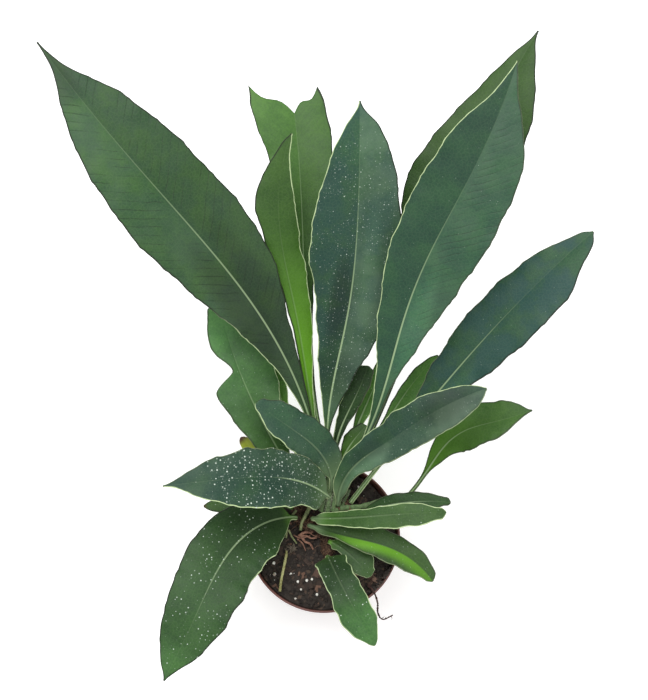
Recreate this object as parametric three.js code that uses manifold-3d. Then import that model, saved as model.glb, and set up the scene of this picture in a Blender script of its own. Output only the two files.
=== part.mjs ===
// A potted fern of the strap-leaf kind: a creeping rhizome with undivided leathery fronds
// in a round nursery pot. Millimetres, +Z up, the origin at the centre of the pot's flat base.
import * as THREE from "three";
import { mergeVertices } from "three/addons/utils/BufferGeometryUtils.js";
import Module from "manifold-3d";

const wasm = await Module();
wasm.setup();

// The pot: a 12 cm nursery pot, measured over its rim
const RIM_RADIUS = 60;
const POT_HEIGHT = 95;
const BASE_RADIUS = 43;
const WALL = 1.2;
const FLOOR = 2.2;
const COLLAR_HEIGHT = 11;
const COLLAR_STEP = 2.6;
const COLLAR_DRAFT = 0.6;
const FOOT_BEVEL = 1;
const INNER_STEP = 0.7;
const BEAD = 0.8;
const POT_SIDES = 40;
const DRAIN_HOLES = 8;
const DRAIN_RADIUS = 4.5;
const DRAIN_RING = 30;

// The clear space between pieces that touch, and the deeper one that the rhizome has in the mix
const GAP = 0.3;
const BED_GAP = 0.4;

// The potting mix, with the white grains and the chips of bark on it
const MIX_TOP = 87;
const MIX_RINGS = 6;
const GRAINS = { count: 22, smallest: 1.2, spread: 1.1, sunk: 0.25 };
const BARK_CHIPS = { count: 8, shortest: 5, spread: 6, breadth: 0.45, thickness: 1.8, sunk: 0.2, tilt: 0.3 };
const BITS_RADIUS = 52;

// The rhizome, half sunk in the mix, and the stumps on it that carry the fronds
const RHIZOME_RADIUS = 4.6;
const RHIZOME_Z = 89.4;
const RHIZOME_SIDES = 8;
const RHIZOME_STEPS = 9;
const KNOB_SHARE = 1.3; // a knob at an arm's end, as a share of the arm's radius
const ROOT_SHARE = 1.4; // a stump's foot on the arm, as a share of the stump's radius
const STUMP_RADIUS = 2.2;
const STUMP_LENGTH = 4;
const STUMP_SIDES = 6;
const STUMP_TOP = 96.5;

// The fronds: blade and stalk thicknesses
const BLADE_THICKNESS = 0.9;
const STALK_RADIUS = 2;
const TIP_RADIUS = 0.7;
const FULL_WAVE_HALF = 14; // a narrower blade has smaller waves
const NOTCH_POWER = 0.9;
const WIDE_HALF = 17; // a blade with a greater half width has seven columns of points, not five

const ROUND = Math.PI * 2;
const radians = THREE.MathUtils.degToRad;

// Plain random draws that come out the same each time
function seededDraws(seed) {
  let state = seed;
  return () => {
    state = (state * 1664525 + 1013904223) % 4294967296;
    return state / 4294967296;
  };
}

// Solids
function solidOf(geometry) {
  const bare = geometry.index ? geometry.toNonIndexed() : geometry.clone();
  bare.deleteAttribute("normal");
  bare.deleteAttribute("uv");
  const merged = mergeVertices(bare, 1e-4);
  return new wasm.Manifold(
    new wasm.Mesh({
      numProp: 3,
      vertProperties: new Float32Array(merged.attributes.position.array),
      triVerts: new Uint32Array(merged.index.array),
    }),
  );
}

function geometryOf(solid) {
  const mesh = solid.getMesh();
  const geometry = new THREE.BufferGeometry();
  const positions = new Float32Array(mesh.numVert * 3);
  for (let i = 0; i < mesh.numVert; i++) {
    const at = i * mesh.numProp;
    positions.set(mesh.vertProperties.subarray(at, at + 3), i * 3);
  }
  geometry.setAttribute("position", new THREE.BufferAttribute(positions, 3));
  geometry.setIndex(new THREE.BufferAttribute(new Uint32Array(mesh.triVerts), 1));
  geometry.computeVertexNormals();
  return geometry;
}

function named(name, geometry, material) {
  const mesh = new THREE.Mesh(geometry, material);
  mesh.name = name;
  return mesh;
}

// Finishes
const finish = (color, roughness) => new THREE.MeshStandardMaterial({ color, roughness, metalness: 0 });
const FINISHES = {
  pot: finish(0x8a4a36, 0.6),
  mix: finish(0x2e211a, 0.95),
  rhizome: finish(0x3a2a1c, 0.9),
  deepGreen: finish(0x2f5a33, 0.5),
  blueGreen: finish(0x34594b, 0.5),
  freshGreen: finish(0x4f7a2e, 0.5),
  deadStalk: finish(0xb89a5e, 0.8),
  root: finish(0x2b1d14, 0.9),
};

// The pot
function potGeometry() {
  const collarFoot = POT_HEIGHT - COLLAR_HEIGHT;
  const shoulder = RIM_RADIUS - BEAD - COLLAR_STEP;
  const collarOuter = RIM_RADIUS - BEAD;
  const profile = [
    [0, 0],
    [BASE_RADIUS - FOOT_BEVEL, 0],
    [BASE_RADIUS, FOOT_BEVEL],
    [shoulder, collarFoot - COLLAR_STEP],
    [collarOuter - COLLAR_DRAFT, collarFoot],
    [collarOuter, POT_HEIGHT - 2 * BEAD],
    [RIM_RADIUS, POT_HEIGHT - 1.4 * BEAD],
    [RIM_RADIUS, POT_HEIGHT - 0.6 * BEAD],
    [RIM_RADIUS - 0.6 * BEAD, POT_HEIGHT],
    [RIM_RADIUS - 1.7 * BEAD, POT_HEIGHT],
    [collarOuter - WALL, POT_HEIGHT - BEAD],
    [collarOuter - COLLAR_DRAFT - WALL, collarFoot + INNER_STEP],
    [shoulder - WALL, collarFoot - COLLAR_STEP + INNER_STEP],
    [BASE_RADIUS - WALL, FLOOR + FOOT_BEVEL],
    [BASE_RADIUS - WALL - FOOT_BEVEL, FLOOR],
    [0, FLOOR],
  ].map(([r, z]) => new THREE.Vector2(r, z));
  const shell = new THREE.LatheGeometry(profile, POT_SIDES).rotateX(Math.PI / 2);
  let pot = solidOf(shell);
  for (let i = 0; i < DRAIN_HOLES; i++) {
    const angle = (i / DRAIN_HOLES) * ROUND;
    const drill = new THREE.CylinderGeometry(DRAIN_RADIUS, DRAIN_RADIUS, 4 * FLOOR, 16).rotateX(Math.PI / 2);
    drill.translate(DRAIN_RING * Math.cos(angle), DRAIN_RING * Math.sin(angle), 0);
    pot = pot.subtract(solidOf(drill));
  }
  return geometryOf(pot);
}

// The potting mix: its top is lumpy, and heaped a little where the photograph shows it over the rim's edge
const HEAP = { x: 43, y: -30, height: 4, spread: 11 };

function mixHeight(x, y) {
  const lumps =
    0.9 * Math.sin(0.23 * x + 0.9) * Math.cos(0.19 * y - 0.4) +
    0.6 * Math.sin(0.47 * x - 0.31 * y + 2.1) +
    0.4 * Math.cos(0.71 * y + 0.55 * x);
  const away = Math.hypot(x - HEAP.x, y - HEAP.y) / HEAP.spread;
  return MIX_TOP + lumps + HEAP.height * Math.exp(-away * away);
}

function mixBody() {
  const collarFoot = POT_HEIGHT - COLLAR_HEIGHT;
  const inside = WALL + GAP;
  const topRadius = RIM_RADIUS - BEAD - COLLAR_DRAFT - inside;
  const outline = [
    [BASE_RADIUS - inside - FOOT_BEVEL, FLOOR + GAP],
    [BASE_RADIUS - inside, FLOOR + FOOT_BEVEL + GAP],
    [RIM_RADIUS - BEAD - COLLAR_STEP - inside, collarFoot - COLLAR_STEP + INNER_STEP],
    [topRadius - GAP, collarFoot + INNER_STEP + GAP],
  ];
  const positions = [0, 0, FLOOR + GAP];
  const ringStart = [];
  const addRing = (radius, height) => {
    ringStart.push(positions.length / 3);
    for (let i = 0; i < POT_SIDES; i++) {
      const angle = (i / POT_SIDES) * ROUND;
      const x = radius * Math.cos(angle);
      const y = radius * Math.sin(angle);
      positions.push(x, y, height(x, y));
    }
  };
  for (const [radius, z] of outline) addRing(radius, () => z);
  for (let ring = MIX_RINGS; ring > 0; ring--) addRing((topRadius * ring) / MIX_RINGS, mixHeight);
  const centre = positions.length / 3;
  positions.push(0, 0, mixHeight(0, 0));
  const faces = [];
  for (let i = 0; i < POT_SIDES; i++) {
    const j = (i + 1) % POT_SIDES;
    faces.push(0, ringStart[0] + j, ringStart[0] + i);
    for (let ring = 1; ring < ringStart.length; ring++) {
      const [low, high] = [ringStart[ring - 1], ringStart[ring]];
      faces.push(low + i, low + j, high + j, low + i, high + j, high + i);
    }
    faces.push(ringStart.at(-1) + i, ringStart.at(-1) + j, centre);
  }
  const geometry = new THREE.BufferGeometry();
  geometry.setAttribute("position", new THREE.Float32BufferAttribute(positions, 3));
  geometry.setIndex(faces);
  return solidOf(geometry);
}

// White grains and chips of bark, part sunk in the mix
function mixBits() {
  const draw = seededDraws(7);
  const bits = [];
  const place = (geometry, sink) => {
    const angle = draw() * ROUND;
    const radius = BITS_RADIUS * Math.sqrt(draw());
    const [x, y] = [radius * Math.cos(angle), radius * Math.sin(angle)];
    geometry.rotateZ(draw() * ROUND).translate(x, y, mixHeight(x, y) - sink);
    bits.push(solidOf(geometry));
  };
  for (let i = 0; i < GRAINS.count; i++) {
    const size = GRAINS.smallest + GRAINS.spread * draw();
    const grain = new THREE.OctahedronGeometry(size).rotateX(draw() * ROUND).rotateY(draw() * ROUND);
    place(grain, GRAINS.sunk * size);
  }
  const { shortest, spread, breadth, thickness, tilt } = BARK_CHIPS;
  for (let i = 0; i < BARK_CHIPS.count; i++) {
    const length = shortest + spread * draw();
    const chip = new THREE.BoxGeometry(length, breadth * length, thickness).rotateY(tilt * (draw() - 0.5));
    place(chip, BARK_CHIPS.sunk);
  }
  return bits;
}

function tube(points, radius, sides, steps) {
  const path = new THREE.CatmullRomCurve3(points.map((point) => new THREE.Vector3(...point)));
  const section = new THREE.Shape();
  for (let i = 0; i < sides; i++) {
    const angle = (i / sides) * ROUND;
    const [x, y] = [radius * Math.cos(angle), radius * Math.sin(angle)];
    if (i === 0) section.moveTo(x, y);
    else section.lineTo(x, y);
  }
  section.closePath();
  return new THREE.ExtrudeGeometry(section, { steps, extrudePath: path });
}

// The rhizome's three arms, as points in plan
const RHIZOME_ARMS = [
  [[17, 13], [15, 22], [14, 32], [10, 40], [0, 44]],
  [[12, 20], [2, 10], [-8, 7], [-17, 11], [-20, 19], [-14, 29]],
  [[-3, 8], [1, 0], [3, -10]],
];

function rhizomeArms(radius) {
  const pieces = RHIZOME_ARMS.flatMap((arm) => [
    tube(arm.map(([x, y]) => [x, y, RHIZOME_Z]), radius, RHIZOME_SIDES, RHIZOME_STEPS),
    ...[arm[0], arm.at(-1)].map(([x, y]) =>
      new THREE.OctahedronGeometry(radius * KNOB_SHARE, 1).translate(x, y, RHIZOME_Z),
    ),
  ]);
  return pieces.map(solidOf).reduce((body, piece) => body.add(piece));
}

// The point of the rhizome's arms nearest to a place in plan
function nearestOnRhizome(x, y) {
  let best = null;
  for (const arm of RHIZOME_ARMS) {
    const path = new THREE.CatmullRomCurve3(arm.map(([px, py]) => new THREE.Vector3(px, py, RHIZOME_Z)));
    for (const point of path.getSpacedPoints(60)) {
      const distance = Math.hypot(point.x - x, point.y - y);
      if (!best || distance < best.distance) best = { point, distance };
    }
  }
  return best.point;
}

// A cylinder between two points
function rod(from, to, fromRadius, toRadius, sides) {
  const axis = new THREE.Vector3().subVectors(to, from);
  const geometry = new THREE.CylinderGeometry(toRadius, fromRadius, axis.length(), sides);
  geometry.translate(0, axis.length() / 2, 0);
  const upwards = new THREE.Vector3(0, 1, 0);
  const turn = new THREE.Quaternion().setFromUnitVectors(upwards, axis.clone().normalize());
  return geometry.applyQuaternion(turn).translate(from.x, from.y, from.z);
}

// The rhizome with the stump that each frond stands on, all grown outwards by an allowance
function rhizomeBody(allowance) {
  let body = rhizomeArms(RHIZOME_RADIUS + allowance);
  for (const frond of FRONDS) {
    const start = frondDirection(frond, 0);
    const top = new THREE.Vector3(frond.x, frond.y, STUMP_TOP).addScaledVector(start, -GAP);
    const foot = top.clone().addScaledVector(start, -STUMP_LENGTH);
    const root = nearestOnRhizome(foot.x, foot.y);
    const radius = STUMP_RADIUS + allowance;
    body = body.add(solidOf(rod(foot, top, radius, radius, STUMP_SIDES)));
    body = body.add(solidOf(rod(root, foot, ROOT_SHARE * radius, radius, STUMP_SIDES)));
  }
  return body;
}

function mixGeometry() {
  let mix = mixBody();
  for (const bit of mixBits()) mix = mix.add(bit);
  mix = mix.subtract(rhizomeBody(BED_GAP));
  return geometryOf(mix.decompose().sort((a, b) => b.volume() - a.volume())[0]);
}

// A frond runs from its base in a heading and a rise, in degrees, given at even steps from base to tip.
// stalk is the share of its length with no blade. left and right are the blade's half widths at OUTLINE_AT,
// and tip at its very end. fold lifts both halves of the blade, cup bends their edges down, wave is the
// height of the edge's waves and ripple how far they push the outline in and out.
const OUTLINE_AT = [0.2, 0.4, 0.6, 0.8, 0.93];
const HEEL_AT = 0.07;
const HEEL_SHARE = 0.3;
const TAPER_AT = 0.975;
const PHASE_STEP = 0.37; // each frond's waves start this share of a wave after the last one's

const FROND_DEFAULTS = {
  roll: [0, 0],
  stalk: 0.12,
  tip: [0, 0],
  fold: 0.22,
  cup: 0.14,
  wave: 1.5,
  ripple: 0.5,
  waves: 3,
  taper: 0.5,
  notch: 0,
  slant: 0,
  stations: 18,
  finish: "deepGreen",
};

const FRONDS = [
  {
    name: "frond_far_left",
    x: -1,
    y: 42,
    heading: [98, 135, 127],
    rise: [43, 33, 8],
    length: 410,
    left: [13, 30, 37, 24, 4],
    right: [12, 35, 38, 27, 6],
    stations: 24,
    roll: [0, 6],
    taper: 0.25,
  },
  {
    name: "frond_forked",
    x: 3,
    y: 55,
    heading: [106, 92, 98],
    rise: [37, 24, 10],
    length: 309,
    left: [3, 5, 12, 25, 33],
    right: [3, 7, 14, 26, 25],
    tip: [33, 20],
    notch: 0.085,
    stations: 18,
    phase: 0.1,
    slant: 0.024,
    taper: 0.5,
  },
  {
    name: "frond_narrow_back",
    x: -2,
    y: 50,
    heading: [100, 100, 102, 65],
    rise: [38, 37, 29],
    length: 274,
    left: [3, 5, 9, 17, 7],
    right: [4, 11, 14, 12, 4],
    finish: "freshGreen",
  },
  {
    name: "frond_tall_centre",
    x: 4,
    y: 47,
    heading: [98, 75, 86, 91],
    rise: [42, 43, 26],
    length: 302,
    left: [12, 24, 34, 25, 11],
    right: [14, 28, 33, 27, 15],
    finish: "blueGreen",
    taper: 0.25,
  },
  {
    name: "frond_tall_right",
    x: 11,
    y: 41.5,
    heading: [46, 73, 58, 72],
    rise: [48, 40, 20],
    length: 360,
    left: [9, 22, 31, 26, 8],
    right: [6, 25, 35, 30, 8],
    finish: "blueGreen",
    stations: 22,
    roll: [0, -8],
    taper: 0.35,
  },
  {
    name: "frond_rear_right",
    x: 16.5,
    y: 39,
    heading: [59, 70, 57],
    rise: [38, 28, 18],
    length: 382,
    left: [5, 23, 41, 23, 8],
    right: [2, 13, 30, 31, 12],
    stations: 20,
    roll: [0, 10],
    taper: 0.25,
  },
  {
    name: "frond_long_right",
    x: 21,
    y: 26,
    heading: [50, 45, 39],
    rise: [28, 32, 15],
    length: 284,
    left: [7, 18, 22, 19, 9],
    right: [5, 16, 25, 25, 12],
    finish: "blueGreen",
    roll: [0, 8],
    taper: 0.6,
  },
  {
    name: "frond_under_right",
    x: 23,
    y: 48.5,
    heading: [52, 56, 43],
    rise: [28, 22, 10],
    length: 118,
    left: [2, 4, 6, 6, 4],
    right: [5, 10, 12, 9, 4],
    stations: 12,
  },
  {
    name: "frond_short_right",
    x: 11,
    y: 24,
    heading: [90, 28, 27, 18],
    rise: [62, 42, 5],
    length: 175,
    left: [10, 13, 16, 13, 7],
    right: [6, 13, 16, 17, 11],
    finish: "blueGreen",
    stalk: 0.03,
    heel: [5, 5],
  },
  {
    name: "frond_low_right",
    x: 26,
    y: 18,
    heading: [-15, 41, 52, 9, 17],
    rise: [6, 32, 20],
    length: 171,
    left: [2, 10, 17, 16, 9],
    right: [1, 9, 17, 12, 3],
    stalk: 0.25,
    stations: 16,
    roll: [0, 10],
    taper: 0.3,
  },
  {
    name: "frond_small_right",
    x: 20,
    y: 13,
    heading: [18, 6, -6],
    rise: [38, 20, -4],
    length: 85,
    left: [6, 8, 8, 6, 4],
    right: [4, 7, 8, 7, 3],
    stations: 10,
    taper: 0.85,
  },
  {
    name: "frond_strap_right",
    x: -9,
    y: 13,
    heading: [-18, -1, 2],
    rise: [58, 28, -5],
    length: 120,
    left: [5, 6, 7, 8, 4],
    right: [5, 8, 10, 10, 6],
    stations: 12,
    stalk: 0.03,
    heel: [4.5, 4.5],
    taper: 0.85,
  },
  {
    name: "frond_front_right",
    x: -12,
    y: 8,
    heading: [-28, -16, -53],
    rise: [35, 10, -15],
    length: 113,
    left: [9, 12, 12, 10, 7],
    right: [3, 8, 11, 10, 5],
    finish: "freshGreen",
    stations: 12,
    stalk: 0.05,
    heel: [5, 3],
    taper: 0.7,
  },
  {
    name: "frond_front",
    x: 3,
    y: -19,
    heading: [-78, -64, -57],
    rise: [100, 38, -5, -28],
    length: 103,
    left: [12, 13, 13, 12, 6],
    right: [11, 11, 13, 12, 5],
    stalk: 0.14,
    stations: 12,
    heel: [12, 11],
    cup: 0.3,
    taper: 0.6,
  },
  {
    name: "frond_front_left",
    x: -22,
    y: 14,
    heading: [188, 243, 241],
    rise: [45, 8, -20],
    length: 178,
    left: [25, 27, 26, 18, 6],
    right: [23, 28, 26, 20, 9],
    stalk: 0.03,
    heel: [13, 14],
    roll: [0, 6],
    taper: 0.3,
  },
  {
    name: "frond_speckled_left",
    x: 5,
    y: 29,
    heading: [157, 189, 184],
    rise: [68, 38, -14],
    length: 163,
    left: [17, 23, 23, 14, 3],
    right: [18, 22, 21, 14, 4],
    finish: "blueGreen",
    stalk: 0.05,
    heel: [15, 12],
    taper: 0.3,
  },
  {
    name: "frond_short_centre",
    x: 6,
    y: 36,
    heading: [84, 147, 144],
    rise: [57, 37, 12],
    length: 107,
    left: [8, 13, 14, 11, 5],
    right: [14, 17, 16, 14, 8],
    finish: "blueGreen",
    stations: 12,
    heel: [5, 9],
    taper: 0.75,
  },
  {
    name: "frond_notched_left",
    x: -14,
    y: 32,
    heading: [128, 117, 101],
    rise: [35, 20, 0],
    length: 172,
    left: [13, 20, 25, 17, 12],
    right: [12, 21, 28, 24, 14],
    bite: { at: 0.63, depth: 0.8, before: 0.045, beyond: 0.11 },
    stations: 20,
    roll: [0, -8],
    taper: 0.8,
  },
  {
    name: "frond_young_front",
    x: 4,
    y: -5,
    heading: [-26, -44, -46],
    rise: [22, 8, -8],
    length: 44,
    left: [5, 10, 12, 11, 6],
    right: [3, 5, 7, 7, 4],
    stations: 8,
    stalk: 0.05,
    heel: [4, 4],
    taper: 0.85,
  },
  {
    name: "frond_small_left",
    x: -25,
    y: 22,
    heading: [168, 183, 187],
    rise: [30, 8, -10],
    length: 72,
    left: [4, 8, 9, 7, 4],
    right: [3, 6, 7, 5, 3],
    stations: 8,
  },
  {
    name: "frond_withering_left",
    x: -18,
    y: 29,
    heading: [140, 136, 131],
    rise: [28, 10, -8],
    length: 70,
    left: [4, 7, 8, 6, 4],
    right: [4, 7, 8, 7, 4],
    finish: "freshGreen",
    stations: 8,
    taper: 0.6,
  },
  {
    name: "frond_narrow_left",
    x: -11,
    y: 40,
    heading: [115, 106, 97],
    rise: [24, 18, 10],
    length: 130,
    left: [3, 7, 10, 9, 5],
    right: [2, 4, 7, 7, 5],
    stations: 12,
  },
  {
    name: "frond_young_centre",
    x: 9,
    y: 54,
    heading: [97, 62, 69],
    rise: [52, 36, 20],
    length: 93,
    left: [3, 6, 9, 10, 8],
    right: [2, 4, 6, 7, 6],
    stations: 10,
    taper: 0.85,
    heel: [0.5, 0.5],
  },
  {
    name: "frond_slim_centre",
    x: 16,
    y: 53,
    heading: [76, 65, 70],
    rise: [26, 22, 16],
    length: 102,
    left: [2, 5, 6, 6, 4],
    right: [2, 5, 6, 6, 4],
    stations: 10,
  },
  {
    name: "frond_sprout",
    x: 10.5,
    y: 48,
    heading: [76, 56, 42],
    rise: [34, 26, 12],
    length: 48,
    left: [2, 5, 8, 7, 5],
    right: [3, 5, 6, 5, 4],
    stations: 8,
    taper: 0.8,
  },
].map((frond, index) => ({ ...FROND_DEFAULTS, phase: (PHASE_STEP * index) % 1, ...frond }));

// A smooth curve through values at rising places
function smoothThrough(places, values, place) {
  const last = places.length - 1;
  let i = 0;
  while (i < last - 1 && place > places[i + 1]) i++;
  const slope = (k) => {
    const [before, after] = [Math.max(0, k - 1), Math.min(last, k + 1)];
    return (values[after] - values[before]) / (places[after] - places[before]);
  };
  const span = places[i + 1] - places[i];
  const s = (place - places[i]) / span;
  const ease = s * s * (3 - 2 * s);
  const leaving = s * (1 - s) * (1 - s) * span * slope(i);
  const arriving = s * s * (s - 1) * span * slope(i + 1);
  return values[i] * (1 - ease) + values[i + 1] * ease + leaving + arriving;
}

// A curve through values at even steps from a frond's base to its tip
function along(values, t) {
  const places = values.map((_, i) => i / (values.length - 1));
  return smoothThrough(places, values, t);
}

function frondDirection(frond, t) {
  const heading = radians(along(frond.heading, t));
  const rise = radians(along(frond.rise, t));
  const level = Math.cos(rise);
  return new THREE.Vector3(level * Math.cos(heading), level * Math.sin(heading), Math.sin(rise));
}

// The frond's right-hand side and its upper side, turned by its roll
function frondSides(frond, t) {
  const heading = radians(along(frond.heading, t));
  const level = new THREE.Vector3(Math.sin(heading), -Math.cos(heading), 0);
  const above = new THREE.Vector3().crossVectors(level, frondDirection(frond, t));
  const roll = radians(along(frond.roll, t));
  const side = level.clone().multiplyScalar(Math.cos(roll)).addScaledVector(above, Math.sin(roll));
  const upper = above.multiplyScalar(Math.cos(roll)).addScaledVector(level, -Math.sin(roll));
  return { side, upper };
}

// How much of its full height a wave has on a blade this wide
const waveShare = (half) => Math.min(1, half / FULL_WAVE_HALF);

// Half the blade's width on one side, with the edge's ripples and any bite
function halfWidth(frond, t, side) {
  if (t <= frond.stalk) return 0;
  const u = (t - frond.stalk) / (1 - frond.stalk);
  const halves = side < 0 ? frond.left : frond.right;
  const which = side < 0 ? 0 : 1;
  const heel = frond.heel ? frond.heel[which] : HEEL_SHARE * halves[0];
  const end = frond.tip[which];
  const nearEnd = end + frond.taper * (halves[halves.length - 1] - end);
  const places = [0, HEEL_AT, ...OUTLINE_AT, TAPER_AT, 1];
  const smooth = smoothThrough(places, [0, heel, ...halves, nearEnd, end], u);
  const swell = Math.sqrt(Math.max(0, 4 * u * (1 - u)));
  const ripple =
    frond.ripple * swell * waveShare(smooth) * Math.sin(ROUND * (2 * frond.waves * u + frond.phase) + side);
  const { at, depth, before, beyond } = frond.bite ?? { at: 0, depth: 0, before: 1, beyond: 1 };
  const away = (u - at) / (u < at ? before : beyond);
  const bitten = side < 0 ? 1 - depth * Math.exp(-away * away) : 1;
  return Math.max(0, smooth + ripple) * bitten;
}

// The midrib: even steps along the frond's direction
const MIDRIB_STEPS = 120;

function midrib(frond) {
  const points = [new THREE.Vector3(frond.x, frond.y, STUMP_TOP)];
  for (let i = 0; i < MIDRIB_STEPS; i++) {
    const step = frondDirection(frond, (i + 0.5) / MIDRIB_STEPS).multiplyScalar(frond.length / MIDRIB_STEPS);
    points.push(points[i].clone().add(step));
  }
  return points;
}

function pointOn(points, t) {
  const place = t * MIDRIB_STEPS;
  const i = Math.min(Math.floor(place), MIDRIB_STEPS - 1);
  return points[i].clone().lerp(points[i + 1], place - i);
}

// The blade's rise over its midrib, for a place across it from -1 at its left edge to 1 at its right
function bladeLift(frond, t, place, half) {
  const out = Math.abs(place);
  const u = Math.max(0, (t - frond.stalk) / (1 - frond.stalk));
  const swell = Math.sqrt(Math.max(0, 4 * u * (1 - u)));
  const ripple = Math.sin(ROUND * (frond.waves * u + frond.phase) + (place < 0 ? 1.9 : 0));
  const height = frond.wave * waveShare(half) * swell;
  return half * (frond.fold * out - frond.cup * out * out) + height * out * out * ripple;
}

// The places across one side of a frond, from rib to edge, as shares of its half width there.
// stalkness is 1 on the stalk and close to 0 where the blade is wide.
function sidePlaces(stalkness, wide) {
  const rib = stalkness * (1.05 - 0.35 * stalkness);
  const middle = 0.55 + 0.33 * stalkness;
  return wide ? [rib, middle, 1] : [rib, 1];
}

// The upper and lower points of one row across a frond, from its left edge to its right
function frondRow(frond, points, t) {
  const ribRadius = THREE.MathUtils.lerp(STALK_RADIUS, TIP_RADIUS, t);
  const wide = Math.max(...frond.left, ...frond.right) > WIDE_HALF;
  const side = (sign) => {
    const blade = halfWidth(frond, t, sign);
    const half = Math.hypot(blade, ribRadius);
    const stalkness = ribRadius / half;
    return sidePlaces(stalkness, wide).map((share) => ({ place: sign * share, half, blade, stalkness }));
  };
  const [left, right] = [side(-1).reverse(), side(1)];
  const across = [...left, { ...right[0], place: 0 }, ...right];
  const rowOf = (face) =>
    across.map(({ place, half, blade, stalkness }) => {
      const short = frond.notch * (1 - Math.abs(place)) ** NOTCH_POWER + frond.slant * Math.max(0, place);
      const at = t * (1 - t * short);
      const { side: sideways, upper } = frondSides(frond, at);
      const x = place * half;
      const round = Math.sqrt(Math.max(0, ribRadius * ribRadius - x * x));
      const raised = face > 0 ? round * (0.35 + 0.65 * stalkness) : round;
      const lift = bladeLift(frond, at, place, blade) + face * Math.max(BLADE_THICKNESS / 2, raised);
      return pointOn(points, at).addScaledVector(sideways, x).addScaledVector(upper, lift);
    });
  return { above: rowOf(1), below: rowOf(-1) };
}

// A frond's closed surface: a blade of even thickness that narrows to a round stalk, with the midrib raised
function frondGeometry(frond) {
  const points = midrib(frond);
  const rows = frond.stations;
  const positions = [];
  let columns = 0;
  for (let row = 0; row <= rows; row++) {
    const { above, below } = frondRow(frond, points, row / rows);
    columns = above.length;
    for (const point of [...above, ...below]) positions.push(point.x, point.y, point.z);
  }
  const faces = [];
  const quad = (a, b, c, d) => faces.push(a, b, c, a, c, d);
  const upperAt = (row, column) => row * 2 * columns + column;
  const lowerAt = (row, column) => upperAt(row, column) + columns;
  const last = columns - 1;
  for (let row = 0; row < rows; row++) {
    const next = row + 1;
    for (let column = 0; column < last; column++) {
      const beside = column + 1;
      quad(upperAt(row, column), upperAt(row, beside), upperAt(next, beside), upperAt(next, column));
      quad(lowerAt(next, beside), lowerAt(row, beside), lowerAt(row, column), lowerAt(next, column));
    }
    quad(lowerAt(row, 0), upperAt(row, 0), upperAt(next, 0), lowerAt(next, 0));
    quad(lowerAt(next, last), upperAt(next, last), upperAt(row, last), lowerAt(row, last));
  }
  for (let column = 0; column < last; column++) {
    const beside = column + 1;
    quad(lowerAt(0, column), lowerAt(0, beside), upperAt(0, beside), upperAt(0, column));
    quad(upperAt(rows, column), upperAt(rows, beside), lowerAt(rows, beside), lowerAt(rows, column));
  }
  const geometry = new THREE.BufferGeometry();
  geometry.setAttribute("position", new THREE.Float32BufferAttribute(positions, 3));
  geometry.setIndex(faces);
  geometry.computeVertexNormals();
  return geometry;
}

// A dead stalk that lies on the mix, clear of its highest grains by lift
const DEAD_STALK = {
  radius: 1.2,
  sides: 8,
  steps: 10,
  lift: 1.2,
  plan: [[-29.5, -13], [-31.5, -24], [-33.5, -34], [-34.5, -43]],
};

function deadStalkGeometry() {
  const { radius, sides, steps, lift, plan } = DEAD_STALK;
  const points = plan.map(([x, y]) => [x, y, mixHeight(x, y) + radius + lift]);
  return tube(points, radius, sides, steps);
}

// A thin root that hangs out over the rim
const ROOT = {
  radius: 0.9,
  sides: 6,
  steps: 24,
  points: [
    [34, -38, 92.5],
    [38.5, -44, 96.8],
    [41.5, -52, 94],
    [42, -59, 86],
    [46, -63.5, 82],
    [54, -60, 80],
  ],
};

function build() {
  const group = new THREE.Group();
  group.add(named("pot", potGeometry(), FINISHES.pot));
  group.add(named("potting_mix", mixGeometry(), FINISHES.mix));
  group.add(named("rhizome", geometryOf(rhizomeBody(0)), FINISHES.rhizome));
  for (const frond of FRONDS) group.add(named(frond.name, frondGeometry(frond), FINISHES[frond.finish]));
  group.add(named("dead_stalk", deadStalkGeometry(), FINISHES.deadStalk));
  group.add(named("hanging_root", tube(ROOT.points, ROOT.radius, ROOT.sides, ROOT.steps), FINISHES.root));
  return group;
}

export default build();
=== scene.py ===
"""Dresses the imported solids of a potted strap-leaf fern and sets them in a plain pale studio."""
import sys
import logging
import math
import random
from contextlib import contextmanager
from dataclasses import dataclass
from enum import Enum
from typing import Iterable, Iterator, Mapping, Optional, Sequence, Union

import bpy
import numpy as np
from mathutils import Matrix, Vector


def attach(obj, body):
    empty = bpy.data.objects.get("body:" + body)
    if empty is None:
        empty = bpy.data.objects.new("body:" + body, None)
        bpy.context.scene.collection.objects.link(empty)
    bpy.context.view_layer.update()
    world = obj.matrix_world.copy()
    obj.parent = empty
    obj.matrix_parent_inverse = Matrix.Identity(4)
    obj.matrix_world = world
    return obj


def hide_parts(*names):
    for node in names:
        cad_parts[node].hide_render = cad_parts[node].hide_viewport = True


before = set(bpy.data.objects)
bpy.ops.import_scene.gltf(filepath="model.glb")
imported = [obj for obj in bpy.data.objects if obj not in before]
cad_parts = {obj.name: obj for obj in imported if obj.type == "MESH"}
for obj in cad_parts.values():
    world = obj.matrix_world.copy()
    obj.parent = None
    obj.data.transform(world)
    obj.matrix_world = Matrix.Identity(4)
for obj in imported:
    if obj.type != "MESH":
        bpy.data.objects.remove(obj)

MM = 0.001
ROUND = 2 * math.pi
BODY = "root"

Colour = tuple[float, float, float]
Point = tuple[float, float, float]
Shade = tuple[int, int, int]
Pair = tuple[float, float]
Strand = Sequence[tuple[float, ...]]

log = logging.getLogger("fern")


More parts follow.
